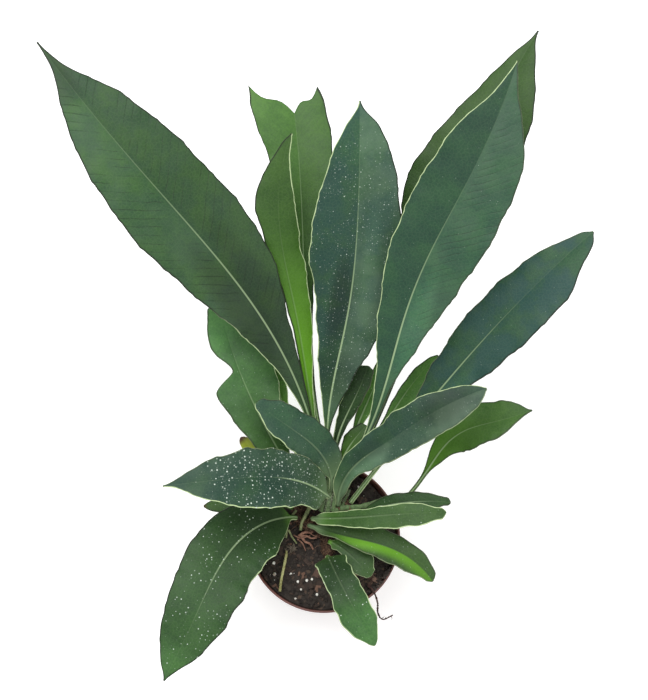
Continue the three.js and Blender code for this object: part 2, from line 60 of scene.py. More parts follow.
def screen_colour(red: int, green: int, blue: int) -> Colour:
    """Turns a colour as a screen shows it into the shader's linear light.

    Args:
        red: Red, from 0 to 255.
        green: Green, from 0 to 255.
        blue: Blue, from 0 to 255.

    Returns:
        The linear red, green and blue.
    """
    def linear(level: int) -> float:
        """Undoes the screen's curve for one channel."""
        share = level / 255
        return share / 12.92 if share <= 0.04045 else ((share + 0.055) / 1.055) ** 2.4

    return linear(red), linear(green), linear(blue)


# Shader maths

Operand = Union["Flow", float]


class Flow:
    """A shader socket that plain operators work on."""

    def __init__(self, graph: "Graph", socket: bpy.types.NodeSocket) -> None:
        """Wraps a node's output.

        Args:
            graph: The graph that the socket belongs to.
            socket: The output that carries the value.
        """
        self.graph = graph
        self.socket = socket

    def __add__(self, other: Operand) -> "Flow":
        """Adds a value."""
        return self.graph.maths("ADD", self, other)

    def __sub__(self, other: Operand) -> "Flow":
        """Takes a value away."""
        return self.graph.maths("SUBTRACT", self, other)

    def __mul__(self, other: Operand) -> "Flow":
        """Multiplies by a value."""
        return self.graph.maths("MULTIPLY", self, other)

    def __truediv__(self, other: Operand) -> "Flow":
        """Divides by a value."""
        return self.graph.maths("DIVIDE", self, other)

    def __pow__(self, other: Operand) -> "Flow":
        """Raises to a power."""
        return self.graph.maths("POWER", self, other)

    def __abs__(self) -> "Flow":
        """Drops the sign."""
        return self.graph.maths("ABSOLUTE", self, 0.0)

    def __rsub__(self, other: float) -> "Flow":
        """Takes this away from a number."""
        return self.graph.maths("SUBTRACT", other, self)

    __radd__ = __add__
    __rmul__ = __mul__

    def sine(self) -> "Flow":
        """Takes the sine."""
        return self.graph.maths("SINE", self, 0.0)

    def above(self, low: Operand, high: Operand) -> "Flow":
        """Rises smoothly from 0 to 1.

        Args:
            low: Where it is still 0.
            high: Where it reaches 1.

        Returns:
            The smooth step.
        """
        values = {"Value": self, "From Min": low, "From Max": high}
        return self.graph.node("ShaderNodeMapRange", {"interpolation_type": "SMOOTHSTEP"}, values)

    def below(self, low: Operand, high: Operand) -> "Flow":
        """Falls smoothly from 1 at the low value to 0 at the high one."""
        return 1.0 - self.above(low, high)


class Graph:
    """One material's nodes."""

    def __init__(self, name: str) -> None:
        """Starts an empty material.

        Args:
            name: The material's name.
        """
        self.material = bpy.data.materials.new(name)
        self.material.use_nodes = True
        self.tree = self.material.node_tree
        self.tree.nodes.clear()

    def node(
        self,
        kind: str,
        settings: Optional[Mapping[str, object]] = None,
        values: Optional[Mapping[Union[str, int], object]] = None,
        output: Union[str, int] = 0,
    ) -> Flow:
        """Adds any node.

        Args:
            kind: The node's type.
            settings: What is set on the node itself, before its sockets.
            values: A value or a link for each socket that is used, by name or place.
            output: The output that is handed back, by name or place.

        Returns:
            The chosen output.
        """
        made = self.tree.nodes.new(kind)
        for key, value in (settings or {}).items():
            setattr(made, key, value)
        for key, value in (values or {}).items():
            self._feed(made.inputs[key], value)
        return Flow(self, made.outputs[output])

    def _feed(self, socket: bpy.types.NodeSocket, value: object) -> None:
        """Links a flow to a socket, or sets the socket to a value."""
        if isinstance(value, Flow):
            self.tree.links.new(value.socket, socket)
        elif isinstance(value, tuple) and socket.type == "RGBA":
            socket.default_value = (*value, 1.0)
        else:
            socket.default_value = value

    def maths(self, operation: str, first: Operand, second: Operand) -> Flow:
        """Works out one Math node.

        Args:
            operation: The Math node's operation.
            first: Its first value.
            second: Its second value.

        Returns:
            The result.
        """
        return self.node("ShaderNodeMath", {"operation": operation}, {0: first, 1: second})

    def mix(self, share: Operand, low: object, high: object) -> Flow:
        """Mixes two colours.

        Args:
            share: How much of the second colour shows.
            low: The first colour.
            high: The second colour.

        Returns:
            The mixed colour.
        """
        settings = {"data_type": "RGBA", "clamp_factor": True}
        return self.node("ShaderNodeMix", settings, {0: share, 6: low, 7: high}, 2)

    def place(self) -> Flow:
        """Gives the place in the object's own metres."""
        return self.node("ShaderNodeTexCoord", output="Object")

    def attribute(self, name: str) -> Flow:
        """Gives a vector that the mesh carries."""
        settings = {"attribute_type": "GEOMETRY", "attribute_name": name}
        return self.node("ShaderNodeAttribute", settings, output="Vector")

    def parts(self, vector: Flow) -> tuple[Flow, Flow, Flow]:
        """Splits a vector.

        Args:
            vector: The vector.

        Returns:
            Its x, y and z.
        """
        split = self.tree.nodes.new("ShaderNodeSeparateXYZ")
        self.tree.links.new(vector.socket, split.inputs[0])
        first, second, third = (Flow(self, output) for output in split.outputs)
        return first, second, third

    def joined(self, x: Operand, y: Operand, z: Operand = 0.0) -> Flow:
        """Builds a vector from its x, y and z."""
        return self.node("ShaderNodeCombineXYZ", values={0: x, 1: y, 2: z})

    def stretched(self, vector: Flow, by: Point) -> Flow:
        """Scales a vector by a different amount on each axis."""
        return self.node("ShaderNodeVectorMath", {"operation": "MULTIPLY"}, {0: vector, 1: by})

    def scaled(self, colour: Flow, by: Operand) -> Flow:
        """Makes a colour brighter or darker."""
        return self.node("ShaderNodeVectorMath", {"operation": "SCALE"}, {0: colour, "Scale": by})

    def noise(self, vector: Flow, scale: float, detail: float = 3.0, rough: float = 0.55) -> Flow:
        """Gives soft noise.

        Args:
            vector: Where it is read.
            scale: Bumps to a unit of the vector.
            detail: How many finer layers it has.
            rough: How strong the finer layers are.

        Returns:
            The noise, about 0.3 to 0.7.
        """
        values = {"Vector": vector, "Scale": scale, "Detail": detail, "Roughness": rough}
        return self.node("ShaderNodeTexNoise", values=values)

    def cells(
        self, vector: Flow, scale: float, output: str = "Distance", feature: str = "F1", flat: bool = False
    ) -> Flow:
        """Gives a pattern of cells.

        Args:
            vector: Where it is read.
            scale: Cells to a unit of the vector.
            output: Which of the node's outputs is used.
            feature: What is measured in each cell.
            flat: Whether the cells lie on a flat sheet.

        Returns:
            The chosen output.
        """
        settings = {"feature": feature, "voronoi_dimensions": "2D" if flat else "3D"}
        return self.node("ShaderNodeTexVoronoi", settings, {"Vector": vector, "Scale": scale}, output)

    def finish(
        self,
        colour: object,
        roughness: Operand,
        height: Optional[Flow] = None,
        specular: float = 0.5,
        glow: float = 0.0,
    ) -> bpy.types.Material:
        """Ends the graph in one shader.

        Args:
            colour: The base colour.
            roughness: The roughness.
            height: The relief, in millimetres.
            specular: How strong the gloss is.
            glow: How strongly it shines in white.

        Returns:
            The finished material.
        """
        values = {
            "Base Color": colour,
            "Roughness": roughness,
            "Specular IOR Level": specular,
            "Emission Strength": glow,
        }
        if height is not None:
            relief = {"Height": height, "Distance": MM, "Strength": 1.0}
            values["Normal"] = self.node("ShaderNodeBump", values=relief)
        shader = self.node("ShaderNodeBsdfPrincipled", values=values)
        end = self.tree.nodes.new("ShaderNodeOutputMaterial")
        self.tree.links.new(shader.socket, end.inputs["Surface"])
        return self.material


# Tools for meshes

def start_clean() -> None:
    """Leaves edit mode and deselects everything."""
    if bpy.context.object and bpy.context.object.mode != "OBJECT":
        bpy.ops.object.mode_set(mode="OBJECT")
    bpy.ops.object.select_all(action="DESELECT")


def only(piece: bpy.types.Object) -> None:
    """Selects one object and makes it active."""
    start_clean()
    piece.select_set(True)
    bpy.context.view_layer.objects.active = piece


def joined(pieces: Sequence[bpy.types.Object], name: str) -> bpy.types.Object:
    """Joins objects into the first of them.

    Args:
        pieces: The objects.
        name: The name of the result.

    Returns:
        The joined object.
    """
    start_clean()
    for piece in pieces:
        piece.select_set(True)
    bpy.context.view_layer.objects.active = pieces[0]
    if len(pieces) > 1:
        bpy.ops.object.join()
    result = bpy.context.object
    result.name = name
    result.data.name = name
    return result


def settled(piece: bpy.types.Object) -> bpy.types.Object:
    """Puts an object's place into its mesh, so that it sits unturned at the origin."""
    only(piece)
    bpy.ops.object.transform_apply(location=True, rotation=True, scale=True)
    return piece


def apply_modifier(piece: bpy.types.Object, kind: str, **settings: object) -> None:
    """Adds a modifier and applies it.

    Args:
        piece: The object.
        kind: The modifier's type.
        **settings: What is set on it.
    """
    only(piece)
    modifier = piece.modifiers.new(kind.lower(), kind)
    for key, value in settings.items():
        setattr(modifier, key, value)
    bpy.ops.object.modifier_apply(modifier=modifier.name)


@contextmanager
def editing(piece: bpy.types.Object, select: bool = True) -> Iterator[None]:
    """Opens a mesh for editing, and closes it again.

    Args:
        piece: The object.
        select: Whether all of it is selected first.

    Yields:
        Nothing, while the mesh is open.
    """
    only(piece)
    bpy.ops.object.mode_set(mode="EDIT")
    if select:
        bpy.ops.mesh.select_all(action="SELECT")
    yield
    bpy.ops.object.mode_set(mode="OBJECT")


def unselect(piece: bpy.types.Object) -> None:
    """Deselects every point, edge and face of a mesh."""
    with editing(piece, select=False):
        bpy.ops.mesh.select_all(action="DESELECT")


def face_outwards(piece: bpy.types.Object) -> None:
    """Turns all faces of a closed mesh outwards."""
    with editing(piece):
        bpy.ops.mesh.normals_make_consistent(inside=False)
    if closed_in(piece) < 0:
        with editing(piece):
            bpy.ops.mesh.flip_normals()


def closed_in(piece: bpy.types.Object) -> float:
    """Gives six times the space that a mesh closes in, below zero where its faces point inwards."""
    piece.data.calc_loop_triangles()
    rows = np.empty(len(piece.data.loop_triangles) * 3, dtype=int)
    piece.data.loop_triangles.foreach_get("vertices", rows)
    first, second, third = corners(piece)[rows.reshape(-1, 3).T]
    return float((first * np.cross(second, third)).sum())


def corners(piece: bpy.types.Object) -> np.ndarray:
    """Reads the places of a mesh's points, in metres."""
    flat = np.empty(len(piece.data.vertices) * 3)
    piece.data.vertices.foreach_get("co", flat)
    return flat.reshape(-1, 3)


def move_corners(piece: bpy.types.Object, places: np.ndarray) -> None:
    """Moves a mesh's points to new places, in metres."""
    piece.data.vertices.foreach_set("co", places.ravel())
    piece.data.update()


def stamped(name: str, model: bpy.types.Object, places: Iterable[Matrix]) -> bpy.types.Object:
    """Copies a model to many places.

    Args:
        name: The name of the new piece.
        model: What is copied. It is used up.
        places: The place, turn and size of each copy.

    Returns:
        All the copies as one piece.
    """
    copies = []
    for place in places:
        mesh = model.data.copy()
        mesh.transform(place)
        copy = bpy.data.objects.new(name, mesh)
        bpy.context.scene.collection.objects.link(copy)
        copies.append(copy)
    bpy.data.objects.remove(model)
    return joined(copies, name)


def strands(name: str, paths: Sequence[Strand], sides: int = 3) -> bpy.types.Object:
    """Makes thin round strands along paths.

    Args:
        name: The object's name.
        paths: For each strand its points: x, y, z and radius, in millimetres.
        sides: How finely a strand is rounded.

    Returns:
        One mesh with all the strands.
    """
    curve = bpy.data.curves.new(name, "CURVE")
    curve.dimensions = "3D"
    curve.bevel_depth = MM
    curve.bevel_resolution = sides
    curve.use_fill_caps = True
    for path in paths:
        spline = curve.splines.new("POLY")
        spline.points.add(len(path) - 1)
        for point, (x, y, z, radius) in zip(spline.points, path):
            point.co = (x * MM, y * MM, z * MM, 1)
            point.radius = radius
    piece = bpy.data.objects.new(name, curve)
    bpy.context.scene.collection.objects.link(piece)
    only(piece)
    bpy.ops.object.convert(target="MESH")
    piece = bpy.context.object
    bpy.ops.object.shade_smooth()
    return piece


def rounded_path(points: Sequence[Point], steps: int) -> list[Point]:
    """Rounds a path through its points.

    Args:
        points: The points that it passes, in millimetres.
        steps: How many steps the rounded path has.

    Returns:
        The rounded path.
    """
    places = np.linspace(0, 1, len(points))
    at = np.linspace(0, 1, steps + 1)
    rounded = [smooth_through(places, np.array(axis), at) for axis in zip(*points)]
    return [tuple(point) for point in np.stack(rounded, axis=1)]


def smooth_through(places: np.ndarray, values: np.ndarray, at: np.ndarray) -> np.ndarray:
    """Runs a smooth curve through values.

    Args:
        places: Where the values stand, rising.
        values: The values.
        at: Where the curve is read.

    Returns:
        The curve at each place asked for.
    """
    last = len(places) - 1
    slopes = np.empty(last + 1)
    for k in range(last + 1):
        before, after = max(0, k - 1), min(last, k + 1)
        slopes[k] = (values[after] - values[before]) / (places[after] - places[before])
    i = np.searchsorted(places[1:last], at, side="left")
    span = places[i + 1] - places[i]
    s = (at - places[i]) / span
    ease = s * s * (3 - 2 * s)
    leaving = s * (1 - s) ** 2 * span * slopes[i]
    arriving = s * s * (s - 1) * span * slopes[i + 1]
    return values[i] * (1 - ease) + values[i + 1] * ease + leaving + arriving


def stand_in(piece: bpy.types.Object, material: bpy.types.Material, slot: str, *nodes: str) -> None:
    """Dresses a piece and makes it part of the plant.

    Args:
        piece: The finished piece.
        material: Its only material.
        slot: A material slot's name. It is not used.
        *nodes: The solids that it is shown instead of.
    """
    piece.data.materials.clear()
    piece.data.materials.append(material)
    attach(piece, BODY)
    if nodes:
        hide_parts(*nodes)
    log.info("%s: %d faces", piece.name, len(piece.data.polygons))


# Leaf finishes

class LeafTone(Enum):
    """The greens that the fronds have."""

    DEEP = "frond_deep_green"
    BLUE = "frond_blue_green"
    FRESH = "frond_fresh_green"


@dataclass(frozen=True)
class LeafGreens:
    """The colours of one tone of leaf.

    Attributes:
        dark: The darker blotches.
        light: The lighter blotches.
        young: The stalk and the blade next to it.
    """

    dark: Colour
    light: Colour
    young: Colour


GREENS = {
    tone: LeafGreens(*(screen_colour(*shade) for shade in shades))
    for tone, shades in {
        LeafTone.DEEP: ((22, 48, 20), (44, 76, 32), (74, 110, 40)),
        LeafTone.BLUE: ((20, 47, 34), (40, 75, 48), (84, 118, 54)),
        LeafTone.FRESH: ((36, 66, 24), (60, 92, 36), (94, 152, 14)),
    }.items()
}
PALE_STALK = screen_colour(112, 136, 98)
PALE_RIB = screen_colour(150, 172, 130)
PALE_MARGIN = screen_colour(176, 194, 146)
DARK_EDGE = screen_colour(22, 30, 16)
TEAL_SHEEN = screen_colour(26, 60, 58)
LIME = screen_colour(206, 218, 206)
# A painted sheen: the greyish shine where a blade catches the light.
SHEEN_GREY = screen_colour(86, 108, 86)
UNDERSIDE = screen_colour(84, 118, 70)
WITHERED = screen_colour(150, 158, 44)
BROWN_TIP = screen_colour(74, 50, 32)


@dataclass(frozen=True)
class LightPatch:
    """A soft patch of painted light or painted shade on a blade, where it folds or dips.

    Attributes:
        out: How far its middle lies to the right of the midrib, in millimetres.
        up: Where its middle lies along the frond, as a share of its length.
        wide: How far it reaches across, in millimetres.
        long: How far it reaches along, in millimetres.
        shade: How bright the painted light makes it, 1 for plain, below 1 for painted shade.
    """

    out: float
    up: float
    wide: float
    long: float
    shade: float


@dataclass(frozen=True)
class LeafLooks:
    """What one frond's surface shows.

    Attributes:
        tone: Its green.
        halves: How bright the painted light and shade make its left and its right half, 1 for plain.
        ends: How bright the painted light and shade make its base and its tip, 1 for plain.
        light_patches: Its patches of painted light and painted shade.
        painted_sheen: How much painted greyish sheen lies on the left and the right half.
        teal_sheen: How much of it is blotched with a painted blue-green sheen.
        dots: How many of its pores carry a white dot of lime, from 0 to 1.
        dots_from: Where along the frond the dots begin and end, as shares of its length.
        dot_size: How large its dots are, 1 for plain.
        lime: How white its dots are.
        dust: How much fine lime dust it carries.
        veins: How strongly the side veins show on the left and the right half.
        vein_gap: The space between side veins along the midrib, in millimetres.
        margin: How pale the margin is on the left and the right, 0 for a dark edge.
        margin_to: Where along the frond the pale margin has faded, as a share of its length.
        glow: How much of the young green spreads over the blade.
        glow_from: Where along the frond the young green begins, as a share of its length.
        glow_to: Where along the frond the young green has faded, as a share of its length.
        glow_side: -1 or 1 keeps the young green to the left or the right half.
        glow_out: How far from the midrib the young green has faded, in millimetres.
        young_stalk: How strongly its stalk takes the young green.
        pale_stalk: Whether its stalk is a pale greyish green.
        stalk_edge: How pale the edges of its stalk are.
        rib: How strongly the pale midrib shows.
        rib_fade: Where along the frond the pale midrib has faded, as a share of its length.
        withered: How yellow it is.
        browned: Where along the frond it turns brown, as a share of its length.
    """

    tone: LeafTone = LeafTone.DEEP
    halves: Pair = (1.0, 1.0)
    ends: Pair = (0.9, 1.1)
    light_patches: tuple[LightPatch, ...] = ()
    painted_sheen: Pair = (0.05, 0.05)
    teal_sheen: float = 0.0
    dots: float = 0.02
    dots_from: Pair = (0.2, 0.95)
    dot_size: float = 1.0
    lime: float = 0.9
    dust: float = 0.1
    veins: Pair = (0.2, 0.2)
    vein_gap: float = 6.0
    margin: Pair = (0.1, 0.1)
    margin_to: float = 2.0
    glow: float = 0.35
    glow_from: float = 0.0
    glow_to: float = 0.35
    glow_side: int = 0
    glow_out: float = 40.0
    young_stalk: float = 0.8
    pale_stalk: bool = False
    stalk_edge: float = 0.0
    rib: float = 0.8
    rib_fade: float = 0.95
    withered: float = 0.0
    browned: Optional[float] = None


# The leaf's patterns: cells or bumps to a metre, and where each noise begins to show and is full

BLOTCH_SCALE = 46.0
GRAIN_SCALE = 560.0
SHEEN_SCALE = 30.0
DOT_PATCH_SCALE = 34.0
SHADE_RANGE = (0.3, 0.7)
TEAL_SHEEN_RANGE = (0.35, 0.6)
SHEEN_RANGE = (0.36, 0.62)
DOT_PATCH_RANGE = (0.36, 0.58)
VEIN_PATCH_RANGE = (0.35, 0.6)

# The same for the patterns on the flat blade, to a millimetre

VEIN_SWAY_SCALE = 0.05
VEIN_PATCH_SCALE = 0.035
RAGGED_SCALE = 0.12

# How strongly each part of the leaf's colour shows

PLAIN_LIGHT = 0.15
BLOTCH_LIGHT = 0.45
GRAIN_LIGHT = 0.3
VEIN_SHADE = 0.55
NET_SHARE = 0.03
UNDERSIDE_SHARE = 0.8
PALE_STALK_SHARE = 0.75
PAINTED_GUTTER_SHADE = 0.25
DARK_EDGE_SHARE = 0.9
DUST_SHARE = 0.45
LEAST_SHEEN = 0.3
LEAST_DOTS = 0.3
LEAST_LIME = 0.2

# Where the leaf's parts begin and end, in millimetres

SIDE_BLEND = 0.6
VEIN_START = (1.5, 5.0)
VEIN_SWAY = 4.0
NET_LINE = (0.02, 0.14)
THIN_RIB = 0.3
RIB_SWELL = 0.45
GUTTER_OUTER = (-0.5, 0.0)
GUTTER_INNER = (-0.2, 0.4)
DARK_EDGE_LINE = (0.5, 1.5)
PALE_EDGE_LINE = (0.2, 0.6)
RAGGED_DEPTH = 0.4
RAGGED_SIDES = 9.0
DOT_ZONE_BLEND = 8
DOT_RADII = (0.4, 0.4)
DUST_RADII = (0.2, 0.14)
BROWN_SWAY = 6.0
BROWN_BLEND = 5.0

# The same, as shares of the stalk, the glow, the rib, the margin or the gap between veins

SHORTEST_STALK = 0.06
YOUNG_START = 0.8
GLOW_BLEND = (0.5, 1.6)
GLOW_CORE = 0.2
PALE_STALK_BLEND = (0.7, 3.2)
STALK_BLEND = (0.7, 1.6)
STALK_EDGE_BLEND = (0.8, 1.4)
VEIN_STAGGER = 0.45
VEIN_LINE = 0.26
RIB_FADE_START = 0.3
RIB_LINE = (0.5, 1.2)
RIB_LEAST = 0.06
RIB_MOST = 0.9
GUTTER_OUT = 1.6
GUTTER_IN = 0.4
MARGIN_FADE_START = 0.7
SPECK_LINE = (0.5, 1.15)
CHANCE_STEP = 0.01

# The leaf's roughness and relief, in millimetres

LEAF_ROUGH = 0.42
GRAIN_ROUGH = 0.18
LIME_ROUGH = 0.35
UNDERSIDE_ROUGH = 0.15
LEAF_GLOSS = 0.22
QUILT_RELIEF = 0.14
VEIN_RELIEF = 0.10
NET_RELIEF = 0.02
GRAIN_RELIEF = 0.10
BLOTCH_RELIEF = 0.6
DOT_RELIEF = 0.12


def between(share: Flow, low: float, high: float) -> Flow:
    """Gives the low value where the share is 0 and the high one where it is 1."""
    return share * (high - low) + low


def fading(along: Flow, blend: Pair, reach: float) -> Flow:
    """Falls from 1 to 0 between two shares of a reach."""
    first, last = blend
    return along.below(first * reach, last * reach)


@dataclass(frozen=True)
class LeafFinish:
    """A leathery leaf, with its veins, margin, film and dots of lime.

    Attributes:
        name: The material's name.
        looks: What the frond's surface shows.
        length: The frond's length, in millimetres.
        stalk: The share of its length with no blade.
        vein_slope: How far a side vein runs forwards for each millimetre outwards.
        net_cell: The size of the fine net of veins, in millimetres.
        dot_cell: The space between pores, in millimetres.
        dust_cell: The space between grains of dust, in millimetres.
    """

    name: str
    looks: LeafLooks
    length: float
    stalk: float
    vein_slope: float = 0.9
    net_cell: float = 2.6
    dot_cell: float = 3.6
    dust_cell: float = 1.7

    def build(self) -> bpy.types.Material:
        """Builds the material.

        Returns:
            The finished material.
        """
        graph = Graph(self.name)
        across, along, edge = graph.parts(graph.attribute("blade"))
        upper, _, _ = graph.parts(graph.attribute("face"))
        place = graph.place()
        out = abs(across)
        sheet = graph.joined(across, along)
        blotch = graph.noise(place, BLOTCH_SCALE, 3.0, 0.6)
        grain = graph.noise(place, GRAIN_SCALE, 3.0)
        right = across.above(-SIDE_BLEND, SIDE_BLEND)

        colour = self._green(graph, blotch, grain, along, right)
        colour = self._young(graph, colour, out, along, right)
        vein, quilt = self._veins(graph, sheet, out, along, right)
        colour = graph.scaled(colour, 1.0 - vein * VEIN_SHADE)
        net = graph.cells(sheet, 1 / self.net_cell, feature="DISTANCE_TO_EDGE", flat=True).below(*NET_LINE)
        colour = graph.mix(net * NET_SHARE, colour, PALE_RIB)
        colour = self._paint_sheen(graph, colour, place, right)
        colour = self._painted_light(graph, colour, across, along)
        colour = graph.mix((1.0 - upper) * UNDERSIDE_SHARE, colour, UNDERSIDE)
        colour = self._midrib(graph, colour, across, along)
        colour = self._margin(graph, colour, edge, right, along)
        dots = self._dots(graph, sheet, along, place) * upper
        colour = graph.mix(dots, colour, LIME)
        colour = self._age(graph, colour, along, blotch)

        roughness = LEAF_ROUGH + grain * GRAIN_ROUGH + dots * LIME_ROUGH + (1.0 - upper) * UNDERSIDE_ROUGH
        height = quilt * QUILT_RELIEF - vein * VEIN_RELIEF + net * NET_RELIEF
        height = height + grain * GRAIN_RELIEF + blotch * BLOTCH_RELIEF + dots * DOT_RELIEF
        return graph.finish(colour, roughness, height, specular=LEAF_GLOSS)

    def _green(self, graph: Graph, blotch: Flow, grain: Flow, along: Flow, right: Flow) -> Flow:
        """Mixes the blade's greens, with painted light and shade on each half and towards each end."""
        looks = self.looks
        greens = GREENS[looks.tone]
        shade = blotch.above(*SHADE_RANGE) * BLOTCH_LIGHT + grain.above(*SHADE_RANGE) * GRAIN_LIGHT
        blade = graph.mix(shade + PLAIN_LIGHT, greens.dark, greens.light)
        # Painted sheen: blotches of blue-green stand for the bluish sheen on the blade.
        if looks.teal_sheen:
            blade = graph.mix((1.0 - blotch).above(*TEAL_SHEEN_RANGE) * looks.teal_sheen, blade, TEAL_SHEEN)
        # Painted light and shade: each half and each end is brightened or darkened as the light falls on
        # it.
        return graph.scaled(
            blade, between(right, *looks.halves) * between(along.above(0.0, self.length), *looks.ends))

    def _painted_light(self, graph: Graph, colour: Flow, across: Flow, along: Flow) -> Flow:
        """Paints light and shade on the places where the blade folds or dips."""
        for patch in self.looks.light_patches:
            side = (across - patch.out) / patch.wide
            ahead = (along - patch.up * self.length) / patch.long
            near = (side * side + ahead * ahead).below(0.0, 1.0)
            colour = graph.scaled(colour, near * (patch.shade - 1.0) + 1.0)
        return colour

    def _young(self, graph: Graph, colour: Flow, out: Flow, along: Flow, right: Flow) -> Flow:
        """Spreads the brighter green of the stalk over the blade's base."""
        looks = self.looks
        stalk_end = max(self.stalk, SHORTEST_STALK) * self.length
        young = along.below(YOUNG_START * stalk_end, looks.glow_to * self.length)
        if looks.glow_from:
            first, last = (share * looks.glow_from * self.length for share in GLOW_BLEND)
            young = young * along.above(first, last)
        side = {-1: 1.0 - right, 0: 1.0, 1: right}[looks.glow_side]
        band = out.below(GLOW_CORE * looks.glow_out, looks.glow_out)
        colour = graph.mix(young * side * band * looks.glow, colour, GREENS[looks.tone].young)
        if looks.pale_stalk:
            stalk = fading(along, PALE_STALK_BLEND, stalk_end) * PALE_STALK_SHARE
            return graph.mix(stalk, colour, PALE_STALK)
        stalk = fading(along, STALK_BLEND, stalk_end) * looks.young_stalk
        return graph.mix(stalk, colour, GREENS[looks.tone].young)

    def _veins(self, graph: Graph, sheet: Flow, out: Flow, along: Flow, right: Flow) -> tuple[Flow, Flow]:
        """Draws the side veins, which run out and forwards.

        Args:
            graph: The graph.
            sheet: The place on the flat blade.
            out: The distance from the midrib.
            along: The distance from the base.
            right: 1 on the right half.

        Returns:
            The veins themselves, and the blade's swelling between them.
        """
        gap = self.looks.vein_gap
        sway = graph.noise(sheet, VEIN_SWAY_SCALE, 2.0) * VEIN_SWAY
        patch = graph.noise(sheet, VEIN_PATCH_SCALE, 2.0).above(*VEIN_PATCH_RANGE)
        turns = (along - out * self.vein_slope + sway + right * (VEIN_STAGGER * gap)) / gap
        wave = abs((turns * (0.5 * ROUND)).sine())
        share = between(right, *self.looks.veins) * patch * out.above(*VEIN_START)
        return wave.below(0.0, VEIN_LINE) * share, wave * share

    def _paint_sheen(self, graph: Graph, colour: Flow, place: Flow, right: Flow) -> Flow:
        """Paints a greyish sheen over each half."""
        cloud = graph.noise(place, SHEEN_SCALE, 4.0, 0.6).above(*SHEEN_RANGE)
        share = between(right, *self.looks.painted_sheen) * between(cloud, LEAST_SHEEN, 1.0)
        return graph.mix(share, colour, SHEEN_GREY)

    def _midrib(self, graph: Graph, colour: Flow, across: Flow, along: Flow) -> Flow:
        """Draws the pale midrib, which thins and fades towards the tip, and painted shade in the gutter
        beside it.
        """
        looks = self.looks
        fade = fading(along, (RIB_FADE_START, looks.rib_fade), self.length)
        reach = fade * RIB_SWELL + THIN_RIB
        core, brim = RIB_LINE
        rib = abs(across).below(reach * core, reach * brim)
        # Painted shade in the gutter beside the midrib, fading with the rib.
        gutter_shade = (across + reach * GUTTER_OUT).above(*GUTTER_OUTER)
        gutter_shade = gutter_shade * (across + reach * GUTTER_IN).below(*GUTTER_INNER)
        colour = graph.scaled(colour, 1.0 - gutter_shade * fade * PAINTED_GUTTER_SHADE)
        return graph.mix(rib * (fade * RIB_MOST + RIB_LEAST) * looks.rib, colour, PALE_RIB)

    def _margin(self, graph: Graph, colour: Flow, edge: Flow, right: Flow, along: Flow) -> Flow:
        """Draws the margin, pale where it is dry and dark where it is not."""
        looks = self.looks
        pale = between(right, *looks.margin)
        pale = pale * fading(along, (MARGIN_FADE_START, 1.0), looks.margin_to * self.length)
        if looks.stalk_edge:
            stalk = fading(along, STALK_EDGE_BLEND, self.stalk * self.length)
            pale = graph.maths("MAXIMUM", pale, stalk * looks.stalk_edge)
        ragged = graph.noise(graph.joined(along, right * RAGGED_SIDES), RAGGED_SCALE, 2.0)
        ragged = ragged.above(*SHADE_RANGE) * RAGGED_DEPTH
        dark = edge.below(*DARK_EDGE_LINE) * (DARK_EDGE_SHARE - pale * DARK_EDGE_SHARE)
        core, brim = PALE_EDGE_LINE
        colour = graph.mix(dark, colour, DARK_EDGE)
        return graph.mix(edge.below(core + ragged, brim + ragged) * pale, colour, PALE_MARGIN)

    def _dots(self, graph: Graph, sheet: Flow, along: Flow, place: Flow) -> Flow:
        """Sets white dots of lime on some of the pores, and finer dust between them."""
        looks = self.looks
        first, last = (share * self.length for share in looks.dots_from)
        zone = along.above(first - DOT_ZONE_BLEND, first + DOT_ZONE_BLEND)
        zone = zone * along.below(last - DOT_ZONE_BLEND, last + DOT_ZONE_BLEND)
        patch = graph.noise(place, DOT_PATCH_SCALE, 1.0).above(*DOT_PATCH_RANGE)
        patch = between(patch, LEAST_DOTS, 1.0)
        smallest, spread = (radius * looks.dot_size for radius in DOT_RADII)
        dots = self._specks(graph, sheet, self.dot_cell, looks.dots * zone * patch, smallest, spread)
        dust = self._specks(graph, sheet, self.dust_cell, looks.dust * zone * patch, *DUST_RADII)
        return graph.maths("MAXIMUM", dots, dust * DUST_SHARE) * looks.lime

    def _specks(
        self, graph: Graph, sheet: Flow, cell: float, share: Flow, smallest: float, spread: float
    ) -> Flow:
        """Sets round specks in some of the cells of a pattern.

        Args:
            graph: The graph.
            sheet: The place on the flat blade.
            cell: The space between cells, in millimetres.
            share: The share of the cells that carry a speck.
            smallest: The smallest radius.
            spread: How much larger the largest is.

        Returns:
            How white the place is.
        """
        apart = graph.cells(sheet, 1 / cell, flat=True) * cell
        chance, size, strength = graph.parts(graph.cells(sheet, 1 / cell, "Color", flat=True))
        radius = size * spread + smallest
        core, brim = SPECK_LINE
        here = chance.below(share - CHANCE_STEP, share)
        return apart.below(radius * core, radius * brim) * here * between(strength, LEAST_LIME, 1.0)

    def _age(self, graph: Graph, colour: Flow, along: Flow, blotch: Flow) -> Flow:
        """Turns an old frond yellow and its tip brown."""
        looks = self.looks
        if looks.withered:
            colour = graph.mix(looks.withered, colour, WITHERED)
        if looks.browned is not None:
            start = looks.browned * self.length
            browned = (along + blotch * BROWN_SWAY).above(start, start + BROWN_BLEND)
            colour = graph.mix(browned, colour, BROWN_TIP)
        return colour


# Fronds

